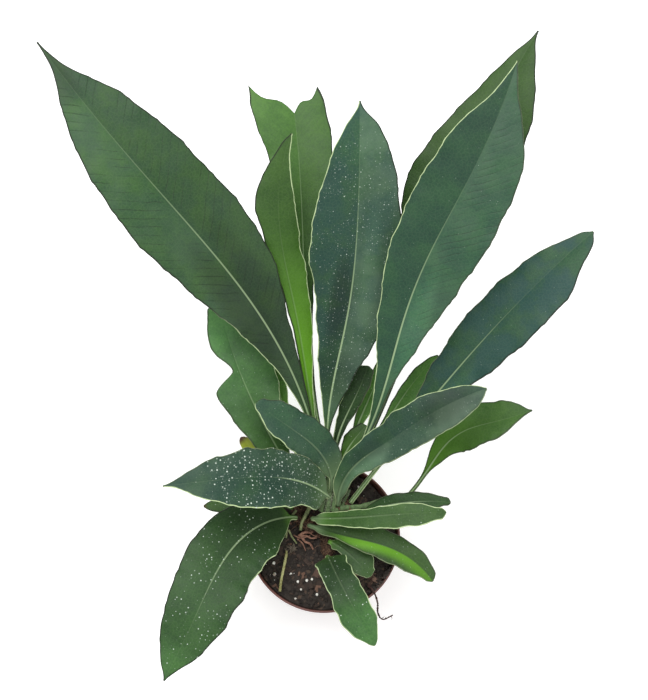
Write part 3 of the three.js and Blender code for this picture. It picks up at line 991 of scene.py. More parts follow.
OUTLINE_AT = (0.2, 0.4, 0.6, 0.8, 0.93)
HEEL_AT = 0.07
HEEL_SHARE = 0.3
TAPER_AT = 0.975
STALK_RADIUS = 2.0
TIP_RADIUS = 0.7
BLADE_THICKNESS = 0.9
STUMP_TOP = 96.5
MIDRIB_STEPS = 120
PHASE_STEP = 0.37
FULL_WAVE_HALF = 14.0
NOTCH_POWER = 0.9
NOTCH_SWAY = 0.12
LONG_FRILL = 27.0
SHORT_FRILL = 11.3
LONG_FRILL_HEIGHT = 0.4
SHORT_FRILL_HEIGHT = 0.34
FRILL_SIDES = 2.4
FRILL_TURN = 2.3
FRILL_DRIFT = 1.4
FRILL_LEAST = 0.6
LEFT_WAVE_LAG = 1.9
LIFTED_FRILL = 0.3
LIFTED_FRILL_TURNS = 4.7
LIFTED_FRILL_LAGS = (0.6, 2.4)
RIM_STEPS = (1.0, 0.5, 0.2, 0.05, 0)
RIB_STEPS = (0, 0.35, 0.7, 1.05)
PLAIN_STEPS = 9
WIDEST_RIM = 0.3
SUNK_RIB = 0.35
EDGE_BEAD = 0.5
TIP_THINNING = 1.5
TIP_RIB_THINNING = 4.0
WELD = 0.002


def wave_share(half: np.ndarray) -> np.ndarray:
    """Gives how much of its full height a wave has on a blade this wide."""
    return np.minimum(1, half / FULL_WAVE_HALF)


@dataclass
class Frond:
    """One frond, from its stalk to its tip, in millimetres and degrees.

    Attributes:
        name: The solid that it is shown instead of.
        x: Where it stands, to the photograph's right.
        y: Where it stands, to the photograph's top.
        heading: Its heading at even steps from base to tip.
        rise: Its rise at even steps from base to tip.
        length: Its length along the midrib.
        left: The half widths of its left side at OUTLINE_AT.
        right: The half widths of its right side at OUTLINE_AT.
        looks: What its surface shows.
        roll: How far it is turned about its midrib at even steps.
        stalk: The share of its length with no blade.
        tip: The half widths at its very end.
        fold: How far both halves are lifted.
        cup: How far their edges bend down.
        wave: The height of the edge's waves.
        ripple: How far the waves push the outline in and out.
        waves: How many waves an edge has.
        phase: Where in a wave the edges start.
        taper: How full it still is close to its tip.
        notch: How deep the tip is forked.
        slant: How much shorter its right tip is than its left.
        bite: Where a bite is out of the left edge, how deep it is, and its width before and beyond.
        heel: The half widths where the blade starts.
        slot: A material slot's name, handed on to stand_in, which does not use it.
        row_step: The space between rows of points.
    """

    name: str
    x: float
    y: float
    heading: Sequence[float]
    rise: Sequence[float]
    length: float
    left: Sequence[float]
    right: Sequence[float]
    looks: LeafLooks = LeafLooks()
    roll: Sequence[float] = (0, 0)
    stalk: float = 0.12
    tip: Sequence[float] = (0, 0)
    fold: float = 0.22
    cup: float = 0.14
    wave: float = 1.5
    ripple: float = 0.5
    waves: int = 3
    phase: float = 0.0
    taper: float = 0.5
    notch: float = 0.0
    slant: float = 0.0
    bite: Optional[tuple[float, float, float, float]] = None
    heel: Optional[Pair] = None
    slot: LeafTone = LeafTone.DEEP
    row_step: float = 1.7

    def _along(self, values: Sequence[float], t: np.ndarray) -> np.ndarray:
        """Reads values that are given at even steps from base to tip."""
        return smooth_through(np.linspace(0, 1, len(values)), np.array(values, float), t)

    def direction(self, t: np.ndarray) -> np.ndarray:
        """Gives the way that the midrib runs."""
        heading = np.radians(self._along(self.heading, t))
        rise = np.radians(self._along(self.rise, t))
        level = np.cos(rise)
        return np.stack([level * np.cos(heading), level * np.sin(heading), np.sin(rise)], axis=-1)

    def sides(self, t: np.ndarray) -> tuple[np.ndarray, np.ndarray]:
        """Finds the blade's own axes.

        Args:
            t: Shares of the frond's length.

        Returns:
            The way to its right and the way up from its surface.
        """
        heading = np.radians(self._along(self.heading, t))
        level = np.stack([np.sin(heading), -np.cos(heading), np.zeros_like(heading)], axis=-1)
        above = np.cross(level, self.direction(t))
        roll = np.radians(self._along(self.roll, t))[..., None]
        side = level * np.cos(roll) + above * np.sin(roll)
        return side, above * np.cos(roll) - level * np.sin(roll)

    def midrib(self, t: np.ndarray) -> np.ndarray:
        """Finds points on the midrib."""
        middles = (np.arange(MIDRIB_STEPS) + 0.5) / MIDRIB_STEPS
        steps = self.direction(middles) * (self.length / MIDRIB_STEPS)
        start = np.array([[self.x, self.y, STUMP_TOP]])
        points = np.concatenate([start, start + np.cumsum(steps, axis=0)])
        marks = np.linspace(0, 1, MIDRIB_STEPS + 1)
        return np.stack([np.interp(t, marks, points[:, axis]) for axis in range(3)], axis=-1)

    def blade_share(self, t: np.ndarray) -> np.ndarray:
        """Gives the share of the blade's own length, 0 on the stalk."""
        return np.maximum(0, (t - self.stalk) / (1 - self.stalk))

    def swell(self, t: np.ndarray) -> np.ndarray:
        """Gives how far from the blade's ends a place is, 1 at its middle."""
        u = self.blade_share(t)
        return np.sqrt(np.maximum(0, 4 * u * (1 - u)))

    def half_width(self, t: np.ndarray, side: int) -> np.ndarray:
        """Finds half the blade's width, with its ripples and any bite.

        Args:
            t: Shares of the frond's length.
            side: -1 for its left, 1 for its right.

        Returns:
            The half widths.
        """
        u = self.blade_share(t)
        halves = self.left if side < 0 else self.right
        which = 0 if side < 0 else 1
        heel = self.heel[which] if self.heel else HEEL_SHARE * halves[0]
        end = self.tip[which]
        near_end = end + self.taper * (halves[-1] - end)
        marks = np.array([0, HEEL_AT, *OUTLINE_AT, TAPER_AT, 1])
        smooth = smooth_through(marks, np.array([0, heel, *halves, near_end, end], float), u)
        turns = 2 * self.waves * u + self.phase
        waves = self.ripple * np.sin(ROUND * turns + side) + self._frill(u, side)
        smooth += self.swell(t) * wave_share(smooth) * waves
        if self.bite and side < 0:
            at, depth, before, beyond = self.bite
            away = (u - at) / np.where(u < at, before, beyond)
            smooth *= 1 - depth * np.exp(-away * away)
        return np.where(t <= self.stalk, 0, np.maximum(0, smooth))

    def _frill(self, u: np.ndarray, side: int) -> np.ndarray:
        """Gives the small uneven waves of an edge, in millimetres."""
        blade = self.length * (1 - self.stalk)
        start = ROUND * self.phase + FRILL_SIDES * side
        long = np.sin(ROUND * u * blade / LONG_FRILL + start)
        short = np.sin(ROUND * u * blade / SHORT_FRILL + FRILL_TURN * start + FRILL_DRIFT * long)
        strength = FRILL_LEAST + (1 - FRILL_LEAST) * long
        return LONG_FRILL_HEIGHT * long + SHORT_FRILL_HEIGHT * short * strength

    def lift(self, t: np.ndarray, place: np.ndarray, half: np.ndarray) -> np.ndarray:
        """Finds the blade's rise over its midrib.

        Args:
            t: Shares of the frond's length.
            place: Places across it, from -1 to 1.
            half: Its half width there.

        Returns:
            The rise.
        """
        out = np.abs(place)
        turns = ROUND * (self.waves * self.blade_share(t) + self.phase)
        wave = np.sin(turns + np.where(place < 0, LEFT_WAVE_LAG, 0))
        lag = np.where(place < 0, *LIFTED_FRILL_LAGS)
        frill = LIFTED_FRILL * np.sin(LIFTED_FRILL_TURNS * turns + lag) * out
        edge = self.wave * wave_share(half) * self.swell(t) * out * out * (wave + frill)
        return half * (self.fold * out - self.cup * out * out) + edge

    def _places(self, stalkness: np.ndarray, half: np.ndarray) -> np.ndarray:
        """Spreads columns from the midrib to one edge, close together at both."""
        rib = stalkness[:, None] * np.array([RIB_STEPS])
        outer = np.linspace(0, 1, PLAIN_STEPS)[1:-1]
        rim = 1 - np.clip(np.array([RIM_STEPS]) / half[:, None], 0, WIDEST_RIM)
        start, stop = rib[:, -1:], rim[:, :1]
        places = np.concatenate([rib, start + (stop - start) * outer[None, :], rim], axis=1)
        places = np.sort(places, axis=1)
        arc = np.sin(np.linspace(0, 0.5 * math.pi, places.shape[1]))[None, :]
        mostly_stalk = stalkness[:, None] ** 3
        return np.clip(places * (1 - mostly_stalk) + arc * mostly_stalk, 0, 1)

    def _half(self, t: np.ndarray, side: int) -> dict[str, np.ndarray]:
        """Works out the columns of one side of every row."""
        rib_radius = STALK_RADIUS + (TIP_RADIUS - STALK_RADIUS) * t
        blade = self.half_width(t, side)
        half = np.hypot(blade, rib_radius)
        stalkness = rib_radius / half
        places = side * self._places(stalkness, half)
        wide = np.ones_like(places)
        return {
            "place": places,
            "half": half[:, None] * wide,
            "blade": blade[:, None] * wide,
            "stalkness": stalkness[:, None] * wide,
            "rib": rib_radius[:, None] * wide,
            "t": t[:, None] * wide,
        }

    def _surface(self, t: np.ndarray, face: int) -> tuple[np.ndarray, np.ndarray]:
        """Shapes the upper or the lower face.

        Args:
            t: The rows, as shares of the frond's length.
            face: 1 for the upper face, -1 for the lower.

        Returns:
            The points from the left edge to the right, and what the finish reads at each.
        """
        left, right = self._half(t, -1), self._half(t, 1)
        rows = {key: np.concatenate([left[key][:, :0:-1], right[key]], axis=1) for key in left}
        place, half, blade, rib = rows["place"], rows["half"], rows["blade"], rows["rib"]
        out = np.abs(place)
        fork = (1 - out) ** NOTCH_POWER + NOTCH_SWAY * np.sin(ROUND * (1 - out))
        short = self.notch * fork + self.slant * np.maximum(0, place)
        at = rows["t"] * (1 - rows["t"] * short)
        side, upper = self.sides(at)
        across = place * half
        ridge = np.sqrt(np.maximum(0, rib ** 2 - across ** 2))
        raised = ridge * (SUNK_RIB + (1 - SUNK_RIB) * rows["stalkness"]) if face > 0 else ridge
        inwards = (1 - out) * half
        bead = 1 - (1 - np.clip(inwards / EDGE_BEAD, 0, 1)) ** 2
        to_tip = (1 - rows["t"]) * self.length
        thick = 0.5 * BLADE_THICKNESS * np.sqrt(bead) * np.sqrt(np.clip(to_tip / TIP_THINNING, 0, 1))
        raised *= np.sqrt(np.clip(to_tip / TIP_RIB_THINNING, 0, 1))
        height = self.lift(at, place, blade) + face * np.maximum(thick, raised)
        points = self.midrib(at) + side * across[..., None] + upper * height[..., None]
        return points, np.stack([across, at * self.length, inwards], axis=-1)

    def build(self) -> bpy.types.Object:
        """Builds the frond from a grid that is wrapped round its section.

        Returns:
            The finished frond.
        """
        rows = math.ceil(self.length / self.row_step)
        t = np.linspace(0, 1, rows + 1)
        above, above_notes = self._surface(t, 1)
        below, below_notes = self._surface(t, -1)
        points = np.concatenate([above, below[:, -2::-1]], axis=1)
        notes = np.concatenate([above_notes, below_notes[:, -2::-1]], axis=1)
        faces = np.concatenate([np.ones(above.shape[:2]), np.zeros((rows + 1, above.shape[1] - 1))], axis=1)
        faces[:, [0, above.shape[1] - 1, -1]] = 0.5
        columns = points.shape[1]

        start_clean()
        bpy.ops.mesh.primitive_grid_add(x_subdivisions=columns - 1, y_subdivisions=rows, size=1)
        piece = bpy.context.object
        name = "leaf_" + self.name.removeprefix("frond_")
        piece.name = piece.data.name = name
        grid = corners(piece)
        column = np.rint((grid[:, 0] + 0.5) * (columns - 1)).astype(int)
        row = np.rint((grid[:, 1] + 0.5) * rows).astype(int)
        move_corners(piece, points[row, column] * MM)
        self._note(piece, "blade", notes[row, column])
        self._note(piece, "face", np.repeat(faces[row, column][:, None], 3, axis=1))

        with editing(piece):
            bpy.ops.mesh.remove_doubles(threshold=WELD * MM)
            bpy.ops.mesh.select_all(action="DESELECT")
            bpy.ops.mesh.select_non_manifold(extend=False, use_wire=False, use_multi_face=False)
            bpy.ops.mesh.fill_holes(sides=0)
        face_outwards(piece)
        bpy.ops.object.shade_smooth()
        finish = LeafFinish(name, self.looks, self.length, self.stalk)
        stand_in(piece, finish.build(), self.slot.value, self.name)
        return piece

    @staticmethod
    def _note(piece: bpy.types.Object, name: str, values: np.ndarray) -> None:
        """Stores a vector for each point, for the finish to read."""
        stored = piece.data.attributes.new(name, "FLOAT_VECTOR", "POINT")
        stored.data.foreach_set("vector", values.astype(np.float32).ravel())


DEEP, BLUE, FRESH = LeafTone.DEEP, LeafTone.BLUE, LeafTone.FRESH

FRONDS = [
    Frond(
        "frond_far_left", x=-1, y=42, heading=(98, 135, 127), rise=(43, 33, 8), length=410,
        left=(13, 30, 37, 24, 4), right=(12, 35, 38, 27, 6), roll=(0, 6), taper=0.25,
        looks=LeafLooks(
            DEEP, halves=(1.0, 0.8), ends=(0.8, 1.4), teal_sheen=0.15, painted_sheen=(0.17, 0.08), dots=0.0, dust=0.0,
            veins=(0.95, 0.7), vein_gap=8.0, margin=(0.85, 0.0), margin_to=0.46, glow=0.1, glow_to=0.3,
            rib=0.6,
            light_patches=(LightPatch(12, 0.4, 15, 90, 0.74), LightPatch(-10, 0.36, 18, 100, 0.56),
                     LightPatch(-5, 0.93, 16, 30, 0.62)),
        ),
    ),
    Frond(
        "frond_forked", x=3, y=55, heading=(106, 92, 98), rise=(37, 24, 10), length=309,
        left=(3, 5, 12, 25, 33), right=(3, 7, 14, 26, 25), tip=(33, 20), phase=0.1, taper=0.5,
        notch=0.085, slant=0.024,
        looks=LeafLooks(
            FRESH, halves=(1.05, 0.84), dots=0.0, dust=0.0, painted_sheen=(0.05, 0.1), ends=(0.6, 1.65),
            margin=(0.0, 0.0), glow=0.15,
        ),
    ),
    Frond(
        "frond_narrow_back", x=-2, y=50, heading=(100, 100, 102, 65), rise=(38, 37, 29), length=274,
        left=(3, 5, 9, 17, 7), right=(4, 11, 14, 12, 4), slot=FRESH,
        # Its bright young green over the blade is painted light, shining through the backlit blade.
        looks=LeafLooks(
            FRESH, dots=0.0, dust=0.0, painted_sheen=(0.0, 0.0), ends=(1.2, 0.9), margin=(0.0, 0.9), glow=1.0,
            glow_from=0.22, glow_to=0.85, young_stalk=0.3, rib=0.2,
        ),
    ),
    Frond(
        "frond_tall_centre", x=4, y=47, heading=(98, 75, 86, 91), rise=(42, 43, 26), length=302,
        left=(12, 24, 34, 25, 11), right=(14, 28, 33, 27, 15), taper=0.25, slot=BLUE,
        looks=LeafLooks(
            BLUE, teal_sheen=0.5, dots=0.34, lime=0.6, dots_from=(0.15, 0.92), dot_size=0.6, dust=0.35,
            ends=(0.9, 0.98), painted_sheen=(0.05, 0.45), margin=(0.9, 0.0),
            light_patches=(LightPatch(-7, 0.5, 11, 50, 0.55), LightPatch(0, 0.3, 24, 30, 0.7),
                     LightPatch(12, 0.6, 9, 60, 1.2), LightPatch(0, 0.93, 34, 36, 1.2)),
        ),
    ),
    Frond(
        "frond_tall_right", x=11, y=41.5, heading=(46, 73, 58, 72), rise=(48, 40, 20), length=360,
        left=(9, 22, 31, 26, 8), right=(6, 25, 35, 30, 8), roll=(0, -8), taper=0.35, slot=BLUE,
        looks=LeafLooks(
            BLUE, halves=(0.95, 1.2), ends=(1.25, 0.98), painted_sheen=(0.05, 0.25), teal_sheen=0.15, dots=0.0,
            dust=0.02, veins=(0.2, 0.9), margin=(0.9, 0.1), glow=0.2, rib_fade=0.8,
            light_patches=(LightPatch(9, 0.42, 13, 60, 1.4),),
        ),
    ),
    Frond(
        "frond_rear_right", x=16.5, y=39, heading=(59, 70, 57), rise=(38, 28, 18), length=382,
        left=(5, 23, 41, 23, 8), right=(2, 13, 30, 31, 12), roll=(0, 10), taper=0.25,
        looks=LeafLooks(
            FRESH, halves=(0.76, 0.76), dots=0.0, dust=0.0, painted_sheen=(0.0, 0.0), margin=(0.0, 0.0),
            glow=0.2, glow_to=0.9,
        ),
    ),
    Frond(
        "frond_long_right", x=21, y=26, heading=(50, 45, 39), rise=(28, 32, 15), length=284,
        left=(7, 18, 22, 19, 9), right=(5, 16, 25, 25, 12), roll=(0, 8), taper=0.6, slot=BLUE,
        looks=LeafLooks(
            BLUE, halves=(1.04, 1.04), teal_sheen=0.8, dots=0.0, dust=0.02, painted_sheen=(0.1, 0.1),
            margin=(0.2, 0.0), stalk_edge=0.9, rib_fade=0.8,
            light_patches=(LightPatch(10, 0.35, 13, 60, 1.45),),
        ),
    ),
    Frond(
        "frond_under_right", x=23, y=48.5, heading=(52, 56, 43), rise=(28, 22, 10), length=118,
        left=(2, 4, 6, 6, 4), right=(5, 10, 12, 9, 4),
        looks=LeafLooks(FRESH, halves=(2.1, 2.1), painted_sheen=(0.1, 0.1), margin=(0.0, 0.0), dots=0.0),
    ),
    Frond(
        "frond_short_right", x=11, y=24, heading=(90, 28, 27, 18), rise=(62, 42, 5), length=175,
        left=(10, 13, 16, 13, 7), right=(6, 13, 16, 17, 11), stalk=0.03, heel=(5, 5), slot=BLUE,
        looks=LeafLooks(
            BLUE, halves=(0.9, 0.82), ends=(1.05, 0.85), teal_sheen=0.3, dots=0.04, dot_size=0.6,
            painted_sheen=(0.15, 0.55), margin=(0.9, 0.4), pale_stalk=True, rib=0.25, rib_fade=0.5,
            light_patches=(LightPatch(9, 0.26, 10, 44, 1.9), LightPatch(8, 0.58, 9, 36, 1.2),
                     LightPatch(-4, 0.4, 6, 30, 0.8), LightPatch(0, 0.8, 16, 28, 0.66)),
        ),
    ),
    Frond(
        "frond_low_right", x=26, y=18, heading=(-15, 41, 52, 9, 17), rise=(6, 32, 20), length=171,
        left=(2, 10, 17, 16, 9), right=(1, 9, 17, 12, 3), roll=(0, 10), stalk=0.25, taper=0.3,
        looks=LeafLooks(
            FRESH, halves=(1.0, 1.1), dots=0.0, dust=0.0, painted_sheen=(0.0, 0.0), glow=0.5, glow_to=0.9,
        ),
    ),
    Frond(
        "frond_small_right", x=20, y=13, heading=(18, 6, -6), rise=(38, 20, -4), length=85,
        left=(6, 8, 8, 6, 4), right=(4, 7, 8, 7, 3), taper=0.85,
        looks=LeafLooks(DEEP, halves=(0.95, 0.95), painted_sheen=(0.0, 0.0), dots=0.01),
    ),
    Frond(
        "frond_strap_right", x=-9, y=13, heading=(-18, -1, 2), rise=(58, 28, -5), length=120,
        left=(5, 6, 7, 8, 4), right=(5, 8, 10, 10, 6), stalk=0.03, taper=0.85, heel=(4.5, 4.5),
        looks=LeafLooks(
            FRESH, halves=(0.9, 0.86), ends=(1.1, 1.05), dots=0.06, dot_size=0.6, painted_sheen=(0.1, 0.1),
            lime=0.6, margin=(1.0, 1.0), pale_stalk=True, rib=0.2,
        ),
    ),
    Frond(
        "frond_front_right", x=-12, y=8, heading=(-28, -16, -53), rise=(35, 10, -15), length=113,
        left=(9, 12, 12, 10, 7), right=(3, 8, 11, 10, 5), stalk=0.05, taper=0.7, heel=(5, 3),
        slot=FRESH,
        looks=LeafLooks(
            FRESH, halves=(0.72, 0.7), dots=0.01, painted_sheen=(0.05, 0.0), margin=(0.1, 0.3), glow=1.0,
            glow_from=0.3, glow_to=1.7, glow_side=1, glow_out=10.0, pale_stalk=True, rib=0.0,
        ),
    ),
    Frond(
        "frond_front", x=3, y=-19, heading=(-78, -64, -57), rise=(100, 38, -5, -28), length=103,
        left=(12, 13, 13, 12, 6), right=(11, 11, 13, 12, 5), stalk=0.14, cup=0.3, taper=0.6,
        heel=(12, 11),
        looks=LeafLooks(
            DEEP, halves=(0.95, 0.95), ends=(0.65, 2.0), dots=0.14, dot_size=0.7, painted_sheen=(0.05, 0.05),
            margin=(0.9, 0.9), glow=0.2, rib=0.1,
            light_patches=(LightPatch(0, 0.45, 22, 34, 0.6), LightPatch(0, 0.85, 22, 30, 1.25)),
        ),
    ),
    Frond(
        "frond_front_left", x=-22, y=14, heading=(188, 243, 241), rise=(45, 8, -20), length=178,
        left=(25, 27, 26, 18, 6), right=(23, 28, 26, 20, 9), roll=(0, 6), stalk=0.03, taper=0.3,
        heel=(13, 14),
        looks=LeafLooks(
            DEEP, ends=(0.7, 1.3), dots=0.4, dots_from=(0.2, 0.97), dot_size=0.7, painted_sheen=(0.05, 0.1),
            margin=(0.9, 0.0), margin_to=0.55, glow=0.1, rib=0.6, rib_fade=0.8,
            light_patches=(LightPatch(0, 0.25, 30, 40, 0.78), LightPatch(0, 1.0, 30, 34, 1.4)),
        ),
    ),
    Frond(
        "frond_speckled_left", x=5, y=29, heading=(157, 189, 184), rise=(68, 38, -14), length=163,
        left=(17, 23, 23, 14, 3), right=(18, 22, 21, 14, 4), stalk=0.05, taper=0.3, heel=(15, 12),
        slot=BLUE,
        looks=LeafLooks(
            BLUE, halves=(0.95, 0.95), ends=(0.72, 0.95), teal_sheen=0.35, dots=0.75, dots_from=(0.08, 0.85),
            dot_size=0.85, lime=1.0, dust=0.35, painted_sheen=(0.2, 0.2), margin=(1.0, 0.3), pale_stalk=True,
            rib_fade=0.5,
        ),
    ),
    Frond(
        "frond_short_centre", x=6, y=36, heading=(84, 147, 144), rise=(57, 37, 12), length=107,
        left=(8, 13, 14, 11, 5), right=(14, 17, 16, 14, 8), taper=0.75, heel=(5, 9), slot=BLUE,
        looks=LeafLooks(
            BLUE, teal_sheen=0.2, dots=0.06, dot_size=0.6, painted_sheen=(0.15, 0.1), margin=(0.9, 0.1),
            pale_stalk=True, rib=0.2,
        ),
    ),
    Frond(
        "frond_notched_left", x=-14, y=32, heading=(128, 117, 101), rise=(35, 20, 0), length=172,
        left=(13, 20, 25, 17, 12), right=(12, 21, 28, 24, 14), roll=(0, -8), taper=0.8,
        bite=(0.63, 0.8, 0.045, 0.11),
        looks=LeafLooks(
            DEEP, halves=(1.15, 1.1), ends=(0.9, 2.6), painted_sheen=(0.3, 0.25), dots=0.0, margin=(0.1, 0.7),
            glow=0.3, glow_to=0.8, rib=0.4,
            light_patches=(LightPatch(-8, 0.9, 20, 26, 1.5),),
        ),
    ),
    Frond(
        "frond_young_front", x=4, y=-5, heading=(-26, -44, -46), rise=(22, 8, -8), length=44,
        left=(5, 10, 12, 11, 6), right=(3, 5, 7, 7, 4), stalk=0.05, taper=0.85, heel=(4, 4),
        looks=LeafLooks(
            FRESH, halves=(0.8, 0.8), dots=0.0, painted_sheen=(0.1, 0.15), margin=(0.8, 0.4), glow=0.2, rib=0.1,
        ),
    ),
    Frond(
        "frond_small_left", x=-25, y=22, heading=(168, 183, 187), rise=(30, 8, -10), length=72,
        left=(4, 8, 9, 7, 4), right=(3, 6, 7, 5, 3),
        looks=LeafLooks(FRESH, dots=0.05, browned=0.985),
    ),
    Frond(
        "frond_withering_left", x=-18, y=29, heading=(140, 136, 131), rise=(28, 10, -8), length=70,
        left=(4, 7, 8, 6, 4), right=(4, 7, 8, 7, 4), taper=0.6, slot=FRESH,
        looks=LeafLooks(FRESH, dots=0.0, dust=0.0, withered=0.75, browned=0.95),
    ),
    Frond(
        "frond_narrow_left", x=-11, y=40, heading=(115, 106, 97), rise=(24, 18, 10), length=130,
        left=(3, 7, 10, 9, 5), right=(2, 4, 7, 7, 5),
        looks=LeafLooks(FRESH, halves=(1.4, 1.4), margin=(0.0, 0.9), glow=0.7, glow_to=0.9, dots=0.0),
    ),
    Frond(
        "frond_young_centre", x=9, y=54, heading=(97, 62, 69), rise=(52, 36, 20), length=93,
        left=(3, 6, 9, 10, 8), right=(2, 4, 6, 7, 6), taper=0.85, heel=(0.5, 0.5),
        looks=LeafLooks(
            DEEP, halves=(0.62, 0.7), painted_sheen=(0.0, 0.0), margin=(0.9, 0.1), glow=0.4, dots=0.0,
        ),
    ),
    Frond(
        "frond_slim_centre", x=16, y=53, heading=(76, 65, 70), rise=(26, 22, 16), length=102,
        left=(2, 5, 6, 6, 4), right=(2, 5, 6, 6, 4),
        looks=LeafLooks(FRESH, halves=(2.0, 2.0), margin=(0.3, 0.6), glow=0.4, glow_to=0.6, dots=0.0),
    ),
    Frond(
        "frond_sprout", x=10.5, y=48, heading=(76, 56, 42), rise=(34, 26, 12), length=48,
        left=(2, 5, 8, 7, 5), right=(3, 5, 6, 5, 4), taper=0.8,
        looks=LeafLooks(FRESH, halves=(0.8, 0.8), dots=0.0, margin=(0.0, 0.0), glow=0.3, glow_to=1.0),
    ),
]


# Pot

@dataclass(frozen=True)
class PlasticFinish:
    """The pot's thin red-brown plastic, with dust and old splashes of mix.

    Attributes:
        name: The material's name.
        base: The clean plastic.
        faded: Where light has bleached it.
        soiled_and_shaded: Where mix has stained it, and the painted shade inside the wall.
        cloud_scale: Faded clouds to a metre.
        speck_scale: Splashes to a metre.
        scuff_scale: Scuffs to a metre.
        wall_foot: The radius between the inside and the outside of the wall at its foot, in metres.
        wall_lean: How far the wall leans out for each metre up.
        collar_inside: Where the inside of the collar begins and ends, in metres from the middle.
        collar_foot: Where the collar begins, in metres from the floor.
    """

    name: str = "red_brown_plastic"
    base: Colour = screen_colour(86, 42, 33)
    faded: Colour = screen_colour(108, 58, 46)
    soiled_and_shaded: Colour = screen_colour(48, 32, 26)
    cloud_scale: float = 30.0
    speck_scale: float = 420.0
    scuff_scale: float = 90.0
    wall_foot: float = 0.0424
    wall_lean: float = 0.1707
    collar_inside: Pair = (0.0584, 0.0588)
    collar_foot: Pair = (0.0843, 0.0848)

    def build(self) -> bpy.types.Material:
        """Builds the material, darkened on the inside by stains of mix and painted shade, and splashed by
        mix low on the outside.

        Returns:
            The finished material.
        """
        graph = Graph(self.name)
        place = graph.place()
        x, y, z = graph.parts(place)
        cloud = graph.noise(place, self.cloud_scale, 3.0)
        speck = graph.noise(place, self.speck_scale, 3.0)
        scuff = graph.noise(graph.stretched(place, (1.0, 1.0, 12.0)), self.scuff_scale, 2.0)
        radius = (x * x + y * y) ** 0.5
        wall = z * self.wall_lean + self.wall_foot
        # Inside the wall and under the collar the plastic is darkened: partly stains of mix, partly painted
        # shade.
        inside = (radius - wall).below(-0.6 * MM, 0.0) * z.above(3 * MM, 6 * MM)
        collar = radius.below(*self.collar_inside) * z.above(*self.collar_foot)
        inside = graph.maths("MAXIMUM", inside, collar)
        bleached = cloud.above(0.35, 0.7) * 0.5 + scuff.above(0.5, 0.7) * 0.25
        colour = graph.mix(bleached, self.base, self.faded)
        splash = speck.above(0.5, 0.66) * (z.below(0.0, 30 * MM) * 0.5 + 0.12)
        colour = graph.mix(splash, colour, self.soiled_and_shaded)
        colour = graph.mix(inside * (0.35 + speck * 0.5), colour, self.soiled_and_shaded)
        roughness = 0.42 + cloud * 0.2 + splash * 0.3
        height = speck * 0.05 + scuff * 0.05
        return graph.finish(colour, roughness, height)


